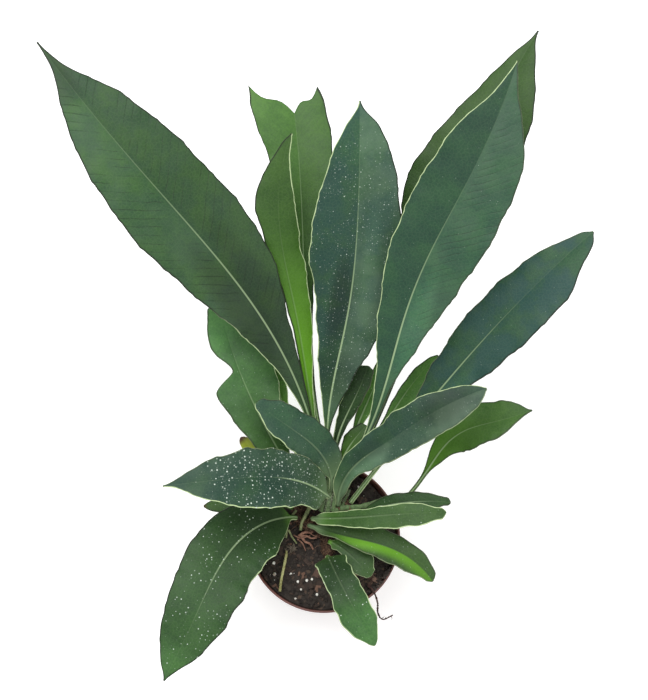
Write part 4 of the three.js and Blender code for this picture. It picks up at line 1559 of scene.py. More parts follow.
@dataclass
class Pot:
    """The round nursery pot.

    Attributes:
        rim_radius: Its radius over the rim.
        height: Its height.
        base_radius: The radius of its base.
        wall: How thick its wall is.
        floor: How thick its floor is.
        collar_height: How far the collar comes down.
        collar_step: How far the collar stands out.
        collar_draft: How much the collar narrows towards its foot.
        bead: The size of the rim's rolled edge.
        standing_ring: How far the flat middle of its base ends before the edge.
        foot_round: The size of the rounding where wall and base meet.
        foot_rise: The height of the wall's first ring.
        foot_lean: How far that ring stands out.
        inner_lift: How much higher the inside's steps are than the outside's.
        holes: How many drain holes its floor has.
        hole_radius: The radius of a drain hole.
        hole_ring: How far from the middle the drain holes are.
        sides: How finely it is rounded.
        drill_sides: How finely a drain hole is rounded.
        drill_turn: How far each drain hole's own corners are turned, in degrees.
        corner_round: How far its corners are rounded.
        corner_angle: The least angle that is rounded, in degrees.
        smooth_angle: The greatest angle that is shaded as a smooth one, in degrees.
    """

    rim_radius: float = 60
    height: float = 95
    base_radius: float = 43
    wall: float = 1.2
    floor: float = 2.2
    collar_height: float = 11
    collar_step: float = 2.6
    collar_draft: float = 0.6
    bead: float = 0.8
    standing_ring: float = 9
    foot_round: float = 1
    foot_rise: float = 3.5
    foot_lean: float = 0.3
    inner_lift: float = 0.7
    holes: int = 8
    hole_radius: float = 4.5
    hole_ring: float = 30
    sides: int = 128
    drill_sides: int = 28
    drill_turn: float = 5
    corner_round: float = 0.35
    corner_angle: float = 22
    smooth_angle: float = 35

    def profile(self) -> list[Pair]:
        """Lists the section, from the middle of the base, up outside and down inside."""
        foot = self.height - self.collar_height
        outer = self.rim_radius - self.bead
        shoulder = outer - self.collar_step
        step = foot - self.collar_step
        return [
            (0, 0),
            (self.base_radius - self.standing_ring, 0),
            (self.base_radius - self.foot_round, 0),
            (self.base_radius, self.foot_round),
            (self.base_radius + self.foot_lean, self.foot_rise),
            (shoulder, step),
            (outer - self.collar_draft, foot),
            (outer, self.height - 2 * self.bead),
            (self.rim_radius, self.height - 1.4 * self.bead),
            (self.rim_radius, self.height - 0.6 * self.bead),
            (self.rim_radius - 0.6 * self.bead, self.height),
            (self.rim_radius - 1.7 * self.bead, self.height),
            (outer - self.wall, self.height - self.bead),
            (outer - self.collar_draft - self.wall, foot + self.inner_lift),
            (shoulder - self.wall, step + self.inner_lift),
            (self.base_radius - self.wall, self.floor + self.foot_round),
            (self.base_radius - self.wall - self.foot_round, self.floor),
            (0, self.floor),
        ]

    def build(self) -> bpy.types.Object:
        """Spins the section, rounds its corners and drills the floor.

        Returns:
            The finished pot.
        """
        profile = self.profile()
        start_clean()
        bpy.ops.mesh.primitive_circle_add(vertices=len(profile), radius=1, fill_type="NOTHING")
        pot = bpy.context.object
        pot.name = pot.data.name = "nursery_pot"
        move_corners(pot, np.array([(r * MM, 0, z * MM) for r, z in profile]))
        unselect(pot)
        ends = {0, len(profile) - 1}
        axis_edge = next(edge for edge in pot.data.edges if set(edge.vertices) == ends)
        axis_edge.select = True
        with editing(pot, select=False):
            bpy.ops.mesh.select_mode(type="EDGE")
            bpy.ops.mesh.delete(type="EDGE")
            bpy.ops.mesh.select_mode(type="VERT")
            bpy.ops.mesh.select_all(action="SELECT")
            bpy.ops.mesh.spin(steps=self.sides, angle=ROUND, center=(0, 0, 0), axis=(0, 0, 1))
            bpy.ops.mesh.select_all(action="SELECT")
            bpy.ops.mesh.remove_doubles(threshold=0.01 * MM)
        face_outwards(pot)
        self._drill(pot)
        apply_modifier(pot, "BEVEL", width=self.corner_round * MM, segments=2, limit_method="ANGLE",
                       angle_limit=math.radians(self.corner_angle))
        only(pot)
        bpy.ops.object.shade_smooth_by_angle(angle=math.radians(self.smooth_angle))
        stand_in(pot, PlasticFinish().build(), "pot_plastic", "pot")
        return pot

    def _drill(self, pot: bpy.types.Object) -> None:
        """Cuts the drain holes, turned a little so that no cut runs along the floor's own edges."""
        drills = []
        for i in range(self.holes):
            angle = i / self.holes * ROUND
            start_clean()
            bpy.ops.mesh.primitive_cylinder_add(
                vertices=self.drill_sides, radius=self.hole_radius * MM, depth=4 * self.floor * MM,
                location=(self.hole_ring * math.cos(angle) * MM, self.hole_ring * math.sin(angle) * MM, 0),
                rotation=(0, 0, angle + math.radians(self.drill_turn)),
            )
            drills.append(bpy.context.object)
        drill = joined(drills, "drills")
        settled(drill)
        apply_modifier(pot, "BOOLEAN", operation="DIFFERENCE", object=drill, solver="EXACT")
        bpy.data.objects.remove(drill)


# Potting mix

class MixMatter(Enum):
    """What the potting mix is made of."""

    PEAT = "dark_mix"
    BARK = "bark_chips"
    RED_BARK = "red_bark_chips"
    GRAIN = "white_grains"


MIX_FIBRES = 900.0
FIBRE_SHARE = 0.4
ODD_CHANCE = (0.86, 0.94)
ODD_SHARE = 0.8
DRY_GLOSS = 0.3


@dataclass(frozen=True)
class MixFinish:
    """One of the stuffs in the mix.

    Attributes:
        matter: Which stuff it is.
        dark: Its darker colour.
        light: Its lighter colour.
        odd: The colour of a few pieces.
        patch: Pieces to a metre.
        rough: Its roughness.
        relief: The height of its grain, in millimetres.
    """

    matter: MixMatter
    dark: Colour
    light: Colour
    odd: Colour
    patch: float
    rough: float
    relief: float

    def build(self) -> bpy.types.Material:
        """Builds the material, in which a few pieces have the odd colour.

        Returns:
            The finished material.
        """
        graph = Graph(self.matter.value)
        place = graph.place()
        chance, shade, _ = graph.parts(graph.cells(place, self.patch, "Color"))
        fibre = graph.noise(place, MIX_FIBRES, 4.0, 0.65)
        colour = graph.mix(shade * (1 - FIBRE_SHARE) + fibre * FIBRE_SHARE, self.dark, self.light)
        colour = graph.mix(chance.above(*ODD_CHANCE) * ODD_SHARE, colour, self.odd)
        return graph.finish(colour, self.rough, fibre * self.relief, specular=DRY_GLOSS)


MIX_FINISHES = {
    matter: MixFinish(matter, screen_colour(*dark), screen_colour(*light), screen_colour(*odd), *rest)
    for matter, dark, light, odd, *rest in (
        (MixMatter.PEAT, (34, 30, 28), (64, 57, 52), (84, 68, 58), 420.0, 0.92, 0.4),
        (MixMatter.BARK, (40, 32, 28), (76, 62, 54), (112, 84, 70), 190.0, 0.85, 0.35),
        (MixMatter.RED_BARK, (64, 48, 42), (94, 72, 62), (132, 104, 90), 300.0, 0.85, 0.3),
        (MixMatter.GRAIN, (212, 208, 200), (248, 246, 240), (160, 140, 120), 300.0, 0.8, 0.25),
    )
}


CRUMB_SIZES = (0.5, 1.7)
CHIP_SIZES = (1.6, 4.6)
GRAIN_SIZES = (0.35, 0.8)
FLAT_TILT_LIFT = (0.25, 0.1)
ROUND_TILT_LIFT = (math.pi, 0.25)
SPILT_SIZES = (0.5, 0.9)
SPILT_SPREAD = 0.16
SPILT_REACH = (-2.5, 1.6)
SET_DOWN_LIFT = 0.3
PEBBLE_ROUGH = 0.32
CHIP_SHAPE = (1, 0.5, 0.16)
CHIP_ROUGH = 0.13


@dataclass
class PottingMix:
    """The plug of bark mix, with its loose crumbs, chips and white grains.

    Attributes:
        top: The height of its top.
        top_radius: The radius of its top.
        rim_height: The height of the pot's rim, on which the spilt crumbs lie.
        edge_drop: How much lower the edge of its top is than the rest.
        side: The rings down its side, each with its radius and its height.
        relief: The sizes of its crumbs, each with its height.
        heap: A heap at the rim: x, y, height and spread.
        lumps: The heights of its broad, middle and small lumps.
        bare_edge: How far from its edge the strewn pieces stay.
        rings: How many rings of points its top has.
        sides: How many points a ring has.
        crumbs: How many dark crumbs lie on it.
        chips: How many chips of bark lie on it.
        grains: How many small white grains lie on it.
        spilt: How many crumbs lie on the rim at the heap.
        large_grains: The large white grains: x, y and radius.
        red_chips: The large reddish chips: x, y, length and turn in degrees.
        seed: What its scatter starts from.
    """

    top: float = 87
    top_radius: float = 57.1
    rim_height: float = 95.0
    edge_drop: float = 0.8
    side: Sequence[Pair] = ((56.8, 85.0), (55.0, 81.6), (54.9, 81.0), (41.6, 3.6), (40.6, 2.5))
    relief: Sequence[Pair] = ((4.5, 1.8), (1.6, 0.9))
    heap: tuple[float, float, float, float] = (43, -30, 4, 11)
    lumps: Point = (0.9, 0.6, 0.4)
    bare_edge: float = 2.2
    rings: int = 64
    sides: int = 200
    crumbs: int = 1500
    chips: int = 120
    grains: int = 40
    spilt: int = 90
    large_grains: Sequence[tuple[float, float, float]] = (
        (-39.5, -20.5, 1.3), (-39, -29, 1.4), (-26, -29, 1.1), (-20.5, -35, 1.1), (-13.5, -34, 1.2),
        (-9.5, -33, 1.0), (-18, -41, 0.9), (-5.5, -45, 1.1), (-22.5, -48, 0.8), (27.5, 40.5, 0.8),
    )
    red_chips: Sequence[tuple[float, float, float, float]] = (
        (-5, -27, 4.6, 62), (-3.5, -29.5, 3.4, 20), (37.5, -31, 3.4, 10), (41, -34, 3.6, -25),
        (36.5, -35.5, 2.8, 70),
    )
    seed: int = 11

    def height_at(self, x: float, y: float) -> float:
        """Gives the height of the top at a place, with the same lumps as the solid's."""
        heap_x, heap_y, heap_height, spread = self.heap
        broad, middle, small = self.lumps
        lumps = (
            broad * math.sin(0.23 * x + 0.9) * math.cos(0.19 * y - 0.4)
            + middle * math.sin(0.47 * x - 0.31 * y + 2.1)
            + small * math.cos(0.71 * y + 0.55 * x)
        )
        away = math.hypot(x - heap_x, y - heap_y) / spread
        return self.top + lumps + heap_height * math.exp(-away * away)

    def build(self) -> list[bpy.types.Object]:
        """Builds the plug and all that lies on it.

        Returns:
            The finished pieces.
        """
        draw = random.Random(self.seed)
        plug = self._plug()
        crumbs = self._strew("mix_crumbs", self._pebble(1), self.crumbs, CRUMB_SIZES, draw)
        chips = self._strew("mix_bark_chips", self._chip(), self.chips, CHIP_SIZES, draw, flat=True)
        grains = self._strew("mix_white_grains", self._pebble(2), self.grains, GRAIN_SIZES, draw)
        upright = [(*grain, 0) for grain in self.large_grains]
        large = self._set_down("mix_large_grains", self._pebble(2), upright)
        red = self._set_down("mix_red_chips", self._chip(), self.red_chips)
        spilt = self._set_down("mix_spilt_crumbs", self._pebble(1), self._spill(draw))
        pieces = {
            plug: MixMatter.PEAT,
            crumbs: MixMatter.PEAT,
            chips: MixMatter.BARK,
            grains: MixMatter.GRAIN,
            large: MixMatter.GRAIN,
            red: MixMatter.RED_BARK,
            spilt: MixMatter.PEAT,
        }
        finishes = {matter: finish.build() for matter, finish in MIX_FINISHES.items()}
        for piece, matter in pieces.items():
            nodes = ("potting_mix",) if piece is plug else ()
            stand_in(piece, finishes[matter], "potting_mix", *nodes)
        return list(pieces)

    def _plug(self) -> bpy.types.Object:
        """Draws rings inwards over the top and down the sides, then roughens them."""
        start_clean()
        bpy.ops.mesh.primitive_circle_add(
            vertices=self.sides, radius=self.top_radius * MM, fill_type="NOTHING")
        plug = bpy.context.object
        plug.name = plug.data.name = "mix_plug"
        with editing(plug):
            for ring in range(self.rings, 1, -1):
                bpy.ops.mesh.extrude_edges_move()
                share = (ring - 1) / ring
                bpy.ops.transform.resize(value=(share, share, 1), center_override=(0, 0, 0))
            bpy.ops.mesh.edge_face_add()
            bpy.ops.mesh.poke()
        flat = corners(plug) / MM
        heights = np.array([self.height_at(x, y) for x, y, _ in flat])
        flat[:, 2] = heights - np.where(self._at_edge(flat), self.edge_drop, 0)
        move_corners(plug, flat * MM)
        self._sides(plug)
        self._roughen(plug)
        bpy.ops.object.shade_smooth()
        return plug

    def _at_edge(self, flat: np.ndarray) -> np.ndarray:
        """Tells which points are on the edge of the top."""
        return np.hypot(flat[:, 0], flat[:, 1]) > self.top_radius - 0.05

    def _sides(self, plug: bpy.types.Object) -> None:
        """Extrudes the outer ring down to the pot's floor and closes it."""
        unselect(plug)
        for vertex, chosen in zip(plug.data.vertices, self._at_edge(corners(plug) / MM)):
            vertex.select = bool(chosen)
        last_radius = self.top_radius
        with editing(plug, select=False):
            for radius, height in self.side:
                bpy.ops.mesh.extrude_edges_move()
                share = radius / last_radius
                bpy.ops.transform.resize(value=(share, share, 0), center_override=(0, 0, height * MM))
                last_radius = radius
            bpy.ops.mesh.edge_face_add()
        face_outwards(plug)

    def _roughen(self, plug: bpy.types.Object) -> None:
        """Pushes the top up and down with two sizes of crumb."""
        only(plug)
        group = plug.vertex_groups.new(name="top")
        flat = corners(plug) / MM
        inner = np.hypot(flat[:, 0], flat[:, 1]) < self.top_radius - 1.2
        chosen = np.nonzero(inner & (flat[:, 2] > self.top - 6))[0]
        group.add(chosen.tolist(), 1.0, "REPLACE")
        for size, strength in self.relief:
            texture = bpy.data.textures.new(f"crumb_{size}", "CLOUDS")
            texture.noise_scale = size * MM
            texture.noise_depth = 2
            apply_modifier(plug, "DISPLACE", texture=texture, texture_coords="LOCAL", direction="Z",
                           mid_level=0.55, strength=strength * MM, vertex_group="top")

    @staticmethod
    def _pebble(rounds: int) -> bpy.types.Object:
        """Makes one crumb about a unit across, for copying."""
        start_clean()
        bpy.ops.mesh.primitive_ico_sphere_add(subdivisions=rounds, radius=1)
        pebble = bpy.context.object
        with editing(pebble):
            bpy.ops.transform.vertex_random(offset=PEBBLE_ROUGH, seed=rounds)
        return pebble

    @staticmethod
    def _chip() -> bpy.types.Object:
        """Makes one flat splintered chip about two units long, for copying."""
        start_clean()
        bpy.ops.mesh.primitive_cube_add(size=2)
        chip = bpy.context.object
        with editing(chip):
            bpy.ops.transform.resize(value=CHIP_SHAPE)
            bpy.ops.mesh.subdivide(number_cuts=1)
            bpy.ops.transform.vertex_random(offset=CHIP_ROUGH, seed=5)
        apply_modifier(chip, "BEVEL", width=0.04, segments=1)
        return chip

    def _strew(
        self,
        name: str,
        model: bpy.types.Object,
        count: int,
        sizes: Pair,
        draw: random.Random,
        flat: bool = False,
    ) -> bpy.types.Object:
        """Strews copies of a model over the mix.

        Args:
            name: The name of the strewn piece.
            model: What is copied. It is used up.
            count: How many copies there are.
            sizes: The smallest and the largest size, in millimetres.
            draw: The seeded draws.
            flat: Whether the copies lie flat.

        Returns:
            All the copies as one piece.
        """
        smallest, largest = sizes
        tilt, lift = FLAT_TILT_LIFT if flat else ROUND_TILT_LIFT
        places = []
        for _ in range(count):
            angle = draw.random() * ROUND
            radius = (self.top_radius - self.bare_edge) * math.sqrt(draw.random())
            x, y = radius * math.cos(angle), radius * math.sin(angle)
            size = smallest + (largest - smallest) * draw.random() ** 2
            turn = Matrix.Rotation(draw.random() * ROUND, 4, "Z")
            turn @= Matrix.Rotation((draw.random() - 0.5) * 2 * tilt, 4, "X")
            turn @= Matrix.Rotation((draw.random() - 0.5) * 2 * tilt, 4, "Y")
            squeeze = Matrix.Diagonal((1, 0.7 + 0.3 * draw.random(), 0.6 + 0.4 * draw.random(), 1))
            place = Matrix.Translation(Vector((x, y, self.height_at(x, y) + lift * size)) * MM)
            places.append(place @ turn @ squeeze @ Matrix.Scale(size * MM, 4))
        return stamped(name, model, places)

    def _spill(self, draw: random.Random) -> list[tuple[float, float, float, float]]:
        """Lists the crumbs that lie on the rim at the heap: x, y, size and turn."""
        heap_angle = math.atan2(self.heap[1], self.heap[0])
        spilt = []
        smallest, spread = SPILT_SIZES
        for _ in range(self.spilt):
            angle = heap_angle + draw.gauss(0, SPILT_SPREAD)
            radius = self.top_radius + draw.uniform(*SPILT_REACH)
            size = smallest + spread * draw.random()
            spilt.append((radius * math.cos(angle), radius * math.sin(angle), size, 360 * draw.random()))
        return spilt

    def _set_down(
        self, name: str, model: bpy.types.Object, spots: Iterable[tuple[float, float, float, float]]
    ) -> bpy.types.Object:
        """Sets copies of a model down on the mix or, where they lie past its edge, on the rim.

        Args:
            name: The name of the new piece.
            model: What is copied. It is used up.
            spots: For each copy x, y, its size and its turn in degrees.

        Returns:
            All the copies as one piece.
        """
        places = []
        for x, y, size, turn in spots:
            height = self.height_at(x, y) + SET_DOWN_LIFT
            if math.hypot(x, y) > self.top_radius - 1:
                height = max(height, self.rim_height)
            place = Matrix.Translation(Vector((x, y, height)) * MM)
            places.append(place @ Matrix.Rotation(math.radians(turn), 4, "Z") @ Matrix.Scale(size * MM, 4))
        return stamped(name, model, places)


# Rhizome, roots and stalks

PATCH_SHARE = 0.4


@dataclass(frozen=True)
class FibreFinish:
    """A dry, fibrous stuff such as bark, scales, roots and straw.

    Attributes:
        name: The material's name.
        dark: Its darker colour.
        light: Its lighter colour.
        scale: Fibres to a metre.
        rough: Its roughness.
        relief: The height of its fibres, in millimetres.
    """

    name: str
    dark: Colour
    light: Colour
    scale: float = 700.0
    rough: float = 0.8
    relief: float = 0.25

    def build(self) -> bpy.types.Material:
        """Builds the material, with its fibres drawn out upwards.

        Returns:
            The finished material.
        """
        graph = Graph(self.name)
        place = graph.place()
        fibre = graph.noise(graph.stretched(place, (1.0, 1.0, 0.35)), self.scale, 4.0, 0.6)
        patch = graph.noise(place, self.scale / 7, 2.0)
        shade = fibre.above(0.32, 0.68) * (1 - PATCH_SHARE) + patch.above(0.35, 0.65) * PATCH_SHARE
        colour = graph.mix(shade, self.dark, self.light)
        return graph.finish(colour, self.rough, fibre * self.relief, specular=DRY_GLOSS)


def fibrous(name: str, dark: Shade, light: Shade, scale: float = 700.0) -> bpy.types.Material:
    """Builds a fibrous material.

    Args:
        name: The material's name.
        dark: Its darker colour, as a screen shows it.
        light: Its lighter colour, as a screen shows it.
        scale: Fibres to a metre.

    Returns:
        The finished material.
    """
    return FibreFinish(name, screen_colour(*dark), screen_colour(*light), scale).build()


ARM_STEPS = 24
ARM_SLIMNESS = 0.94
STUMP_SWELLS = (1.4, 1.2, 1.0, 1.0)
END_KNOB = 1.2
STEM_VOXEL = 0.55
KNOB_WIDTH = 3
KNOB_HEIGHT = 0.8
SCALE_SHAPE = (1, 0.16, 1)
SCALE_FOOT = 0.9
SCALE_SIZES = (0.9, 1.3)
SCALE_LEAN = (0.25, 0.35)
ROOTLET_STEPS = (6, 14)
ROOTLET_RADII = (0.25, 0.25)
ROOTLET_STRIDE = 1.7
ROOTLET_WANDER = 0.35
ROOTLET_SINK = (0.5, 1.6)
ROOTLET_FALL = 0.4
ROOTLET_THINNING = 0.6
ROOTLET_REACH = 53


@dataclass
class Rhizome:
    """The creeping stem with its stumps, scales and rootlets.

    Attributes:
        arms: Its three arms, as points in plan.
        radius: The radius of an arm.
        height: The height of an arm's middle.
        stump_radius: The radius of a stump.
        stump_length: The length of a stump.
        gap: The space between a stump and its frond.
        scales: How many papery scales cover it.
        scales_from: The height above which they cover it.
        rootlets: How many thin roots leave it.
        seed: What its scatter starts from.
    """

    arms: Sequence[Sequence[Pair]] = (
        ((17, 13), (15, 22), (14, 32), (10, 40), (0, 44)),
        ((12, 20), (2, 10), (-8, 7), (-17, 11), (-20, 19), (-14, 29)),
        ((-3, 8), (1, 0), (3, -10)),
    )
    radius: float = 4.6
    height: float = 89.4
    stump_radius: float = 2.2
    stump_length: float = 4.0
    gap: float = 0.15
    scales: int = 1100
    scales_from: float = 88
    rootlets: int = 46
    seed: int = 23

    def build(self) -> list[bpy.types.Object]:
        """Builds the stem, its scales and its rootlets.

        Returns:
            The finished pieces.
        """
        stem = self._stem()
        stand_in(stem, fibrous("rhizome_skin", (26, 18, 13), (74, 50, 36)), "rhizome_bark", "rhizome")
        scales = self._scales(stem)
        stand_in(scales, fibrous("papery_scales", (40, 28, 22), (108, 82, 62), 500.0), "rhizome_bark")
        roots = self._rootlets()
        stand_in(roots, fibrous("rootlets", (60, 42, 34), (134, 104, 86), 300.0), "root")
        return [stem, scales, roots]

    def _arm_paths(self) -> list[Strand]:
        """Lists the arms as strands."""
        radius = self.radius * ARM_SLIMNESS
        plans = [rounded_path([(x, y, self.height) for x, y in arm], ARM_STEPS) for arm in self.arms]
        return [[(*point, radius) for point in plan] for plan in plans]

    def _stump_paths(self) -> list[Strand]:
        """Lists the stumps, each from the nearest arm to the foot of its frond."""
        spine = np.array([point[:3] for path in self._arm_paths() for point in path])
        radii = [swell * self.stump_radius for swell in STUMP_SWELLS]
        paths = []
        for frond in FRONDS:
            start = frond.direction(np.array([0.0]))[0]
            top = np.array([frond.x, frond.y, STUMP_TOP]) - start * self.gap
            foot = top - start * self.stump_length
            root = spine[np.argmin(np.hypot(spine[:, 0] - foot[0], spine[:, 1] - foot[1]))]
            places = (root, 0.5 * (root + foot), foot, top)
            paths.append([(*place, radius) for place, radius in zip(places, radii)])
        return paths

    def _stem(self) -> bpy.types.Object:
        """Fuses the arms and the stumps into one knobbly stem."""
        stem = strands("rhizome_stem", self._arm_paths() + self._stump_paths(), sides=4)
        for arm in self.arms:
            for x, y in (arm[0], arm[-1]):
                start_clean()
                bpy.ops.mesh.primitive_uv_sphere_add(
                    segments=24, ring_count=14, radius=END_KNOB * self.radius * MM,
                    location=(x * MM, y * MM, self.height * MM))
                stem = joined([stem, settled(bpy.context.object)], "rhizome_stem")
        apply_modifier(stem, "REMESH", mode="VOXEL", voxel_size=STEM_VOXEL * MM)
        apply_modifier(stem, "SMOOTH", factor=0.5, iterations=4)
        texture = bpy.data.textures.new("rhizome_knobs", "CLOUDS")
        texture.noise_scale = KNOB_WIDTH * MM
        apply_modifier(stem, "DISPLACE", texture=texture, texture_coords="LOCAL",
                       mid_level=0.5, strength=KNOB_HEIGHT * MM)
        only(stem)
        bpy.ops.object.shade_smooth()
        return stem

    def _scales(self, stem: bpy.types.Object) -> bpy.types.Object:
        """Covers the upper side of the stem with thin pointed scales."""
        draw = random.Random(self.seed)
        start_clean()
        bpy.ops.mesh.primitive_cone_add(vertices=6, radius1=0.5, radius2=0.05, depth=2)
        model = bpy.context.object
        with editing(model):
            bpy.ops.transform.resize(value=SCALE_SHAPE)
            bpy.ops.transform.translate(value=(0, 0, SCALE_FOOT))
        least_lean, more_lean = SCALE_LEAN
        smallest, spread = SCALE_SIZES
        low = self.scales_from * MM
        faces = [face for face in stem.data.polygons if face.center.z > low and face.normal.z > -0.2]
        places = []
        for _ in range(self.scales):
            face = draw.choice(faces)
            normal = Vector(face.normal)
            away = Vector((draw.gauss(0, 1), draw.gauss(0, 1), draw.gauss(0.3, 1)))
            flat = (away - normal * away.dot(normal)).normalized()
            lean = (flat + normal * (least_lean + more_lean * draw.random())).normalized()
            side = normal.cross(lean).normalized()
            turn = Matrix((side, lean.cross(side), lean)).transposed().to_4x4()
            size = (smallest + spread * draw.random()) * MM
            shape = Matrix.Diagonal((0.9 * size, size, size, 1))
            places.append(Matrix.Translation(face.center) @ turn @ shape)
        return stamped("rhizome_scales", model, places)

    def _rootlets(self) -> bpy.types.Object:
        """Lets thin roots wander from the stem over and into the mix."""
        draw = random.Random(self.seed + 1)
        mix = PottingMix()
        spine = [point for path in self._arm_paths() for point in path]
        thinnest, spread = ROOTLET_RADII
        over, under = ROOTLET_SINK
        paths = []
        for _ in range(self.rootlets):
            x, y, z, _ = draw.choice(spine)
            heading = draw.random() * ROUND
            length = draw.randint(*ROOTLET_STEPS)
            radius = thinnest + spread * draw.random()
            path = []
            for step in range(length):
                low = mix.height_at(x, y) + (over - under * (step / length) ** 2)
                z += (low - z) * ROOTLET_FALL
                path.append((x, y, z, radius * (1 - ROOTLET_THINNING * step / length)))
                heading += draw.gauss(0, ROOTLET_WANDER)
                x += ROOTLET_STRIDE * math.cos(heading)
                y += ROOTLET_STRIDE * math.sin(heading)
                if math.hypot(x, y) > ROOTLET_REACH:
                    break
            if len(path) > 2:
                paths.append(path)
        return strands("rootlets", paths, sides=2)


OLD_STEPS = 18
OLD_THINNING = 0.35
OLD_KNOT = 0.1
OLD_KNOT_TURN = 1.9
HAIR_STEPS = 40
HAIR_FOOT = 0.8
HAIR_LENGTHS = (0.5, 1.1)
HAIR_RADII = (0.09, 0.04)
HAIR_SWAY = 0.4
STRIP_STEPS = 5
STRIP_RADIUS = 0.38
STRIP_CURL = 0.6


@dataclass
class OldGrowth:
    """The stubs of old fronds, the pale fuzzy stalks and the dry fibres at the crown.

    Attributes:
        stubs: The olive stubs of old fronds, each with its radius and its points.
        stalks: The pale fuzzy stalks between the living ones, each with its radius and its points.
        fibres: The pinkish dry roots that fan out over the mix.
        tuft: The middle of the dry grey tuft, and how wide it is.
        strips: How many dry strips the tuft has.
        thorn: The pale spike that stands up from the mix.
        hairs: How many short hairs a stalk has.
        seed: What its scatter starts from.
    """

    stubs: Sequence[tuple[float, Sequence[Point]]] = (
        (1.7, ((-11, 22.5, 96.5), (-14.5, 16, 96), (-17.5, 10, 94.5), (-18.5, 4.5, 93))),
        (1.1, ((-22, 20, 96), (-26, 14, 95.5), (-28.5, 9, 93.5), (-30, -1, 90))),
        (0.9, ((-28, 5, 92), (-25.5, 0, 91), (-21.5, -5.5, 89.8))),
    )
    stalks: Sequence[tuple[float, Sequence[Point]]] = (
        (2.1, ((-2, 20, 93), (-0.5, 25, 97), (1.5, 31, 99))),
        (2.2, ((2.5, 18, 93.5), (3.5, 24, 98), (5, 32, 101))),
        (2.2, ((7, 20, 94), (8.5, 27, 98), (9.5, 35, 101), (11.5, 43, 103))),
        (1.5, ((10, 21, 94), (13, 28, 98), (15.5, 35, 100), (18, 40, 101))),
        (1.3, ((14, 23, 93.5), (17.5, 30, 96.5), (20, 36, 98))),
        (2.8, ((3.5, 26, 93), (4.5, 33, 96), (4.2, 41, 97.5), (3, 50, 99))),
        (2.9, ((9, 21, 93.5), (17, 22.5, 95), (28, 22.5, 96), (44, 27, 97))),
    )
    fibres: Sequence[tuple[float, Sequence[Point]]] = (
        (1.2, ((-20, 0.5, 90.5), (-15.5, 3, 92), (-11, 3, 91.5), (-7.5, 4.5, 90.5))),
        (0.9, ((-20, -1, 91), (-15, 0.5, 91.5), (-10, -1.5, 91.5), (-6, -1, 90.5))),
        (1.1, ((-18.5, 1, 91), (-15, -4, 91.5), (-11, -6, 91), (-8.5, -10, 89.5))),
        (0.6, ((-21, -2, 90.5), (-17, -5.5, 91), (-14.5, -11, 89.5))),
        (0.5, ((-24, 1, 91), (-18, -1.5, 92), (-11, 0.5, 91.6))),
        (0.4, ((-14, 6, 91.5), (-9, 1, 92), (-3, -1, 91))),
    )
    tuft: tuple[float, float, float, float] = (-25.5, -9.5, 90, 3.6)
    strips: int = 26
    thorn: Sequence[Point] = ((5, -6, 90.5), (7.5, -7, 91.5), (10.5, -8.5, 93))
    hairs: int = 260
    seed: int = 31

    def build(self) -> list[bpy.types.Object]:
        """Builds the old growth.

        Returns:
            The finished pieces.
        """
        draw = random.Random(self.seed)
        thorn = [(0.8, self.thorn)]
        groups = (
            ("old_stubs", self._tapered(self.stubs), "stub_skin", (74, 84, 52), (140, 146, 104), 500.0),
            ("pale_stalks", self._tapered(self.stalks), "stalk_skin", (66, 88, 54), (106, 130, 86), 420.0),
            ("stalk_hairs", self._hairs(draw), "stalk_hair", (120, 132, 104), (168, 176, 150), 900.0),
            ("dry_fibres", self._tapered(self.fibres), "dry_fibre", (92, 62, 50), (150, 112, 94), 700.0),
            ("dry_tuft", self._tuft(draw), "dry_tuft", (66, 58, 50), (116, 106, 92), 600.0),
            ("pale_thorn", self._tapered(thorn), "pale_thorn", (150, 142, 118), (196, 190, 168), 600.0),
        )
        pieces = []
        for name, paths, finish, dark, light, scale in groups:
            piece = strands(name, paths)
            stand_in(piece, fibrous(finish, dark, light, scale), "rhizome_bark")
            pieces.append(piece)
        return pieces

    @staticmethod
    def _tapered(rows: Sequence[tuple[float, Sequence[Point]]]) -> list[Strand]:
        """Rounds paths and thins them towards their ends."""
        paths = []
        for radius, points in rows:
            path = rounded_path(points, OLD_STEPS)
            last = len(path) - 1
            thin = [radius * (1 - OLD_THINNING * i / last) for i in range(last + 1)]
            knots = [1 + OLD_KNOT * math.sin(OLD_KNOT_TURN * i) for i in range(last + 1)]
            paths.append([(*point, slim * knot) for point, slim, knot in zip(path, thin, knots)])
        return paths

    def _hairs(self, draw: random.Random) -> list[Strand]:
        """Lists short hairs that stand out from the pale stalks."""
        paths = []
        for radius, points in self.stalks:
            path = rounded_path(points, HAIR_STEPS)
            for _ in range(self.hairs):
                x, y, z = draw.choice(path)
                angle = draw.random() * ROUND
                reach = radius * HAIR_FOOT
                length = draw.uniform(*HAIR_LENGTHS)
                side, up = math.cos(angle), abs(math.sin(angle))
                foot = (x + reach * side, y + draw.gauss(0, 0.3), z + reach * up)
                end = (foot[0] + length * side, foot[1] + HAIR_SWAY, foot[2] + length * up)
                paths.append([(*place, thin) for place, thin in zip((foot, end), HAIR_RADII)])
        return paths

    def _tuft(self, draw: random.Random) -> list[Strand]:
        """Lists the curled dry strips of the grey tuft."""
        x, y, z, spread = self.tuft
        paths = []
        for _ in range(self.strips):
            heading = draw.random() * ROUND
            at = [x + draw.gauss(0, spread / 2), y + draw.gauss(0, spread / 3), z + draw.uniform(-0.5, 1.0)]
            path = []
            for step in range(STRIP_STEPS):
                path.append((*at, STRIP_RADIUS * (1 - step / (STRIP_STEPS + 1))))
                heading += draw.gauss(0, STRIP_CURL)
                at = [at[0] + math.cos(heading), at[1] + math.sin(heading), at[2] + draw.uniform(-0.3, 0.4)]
            paths.append(path)
        return paths


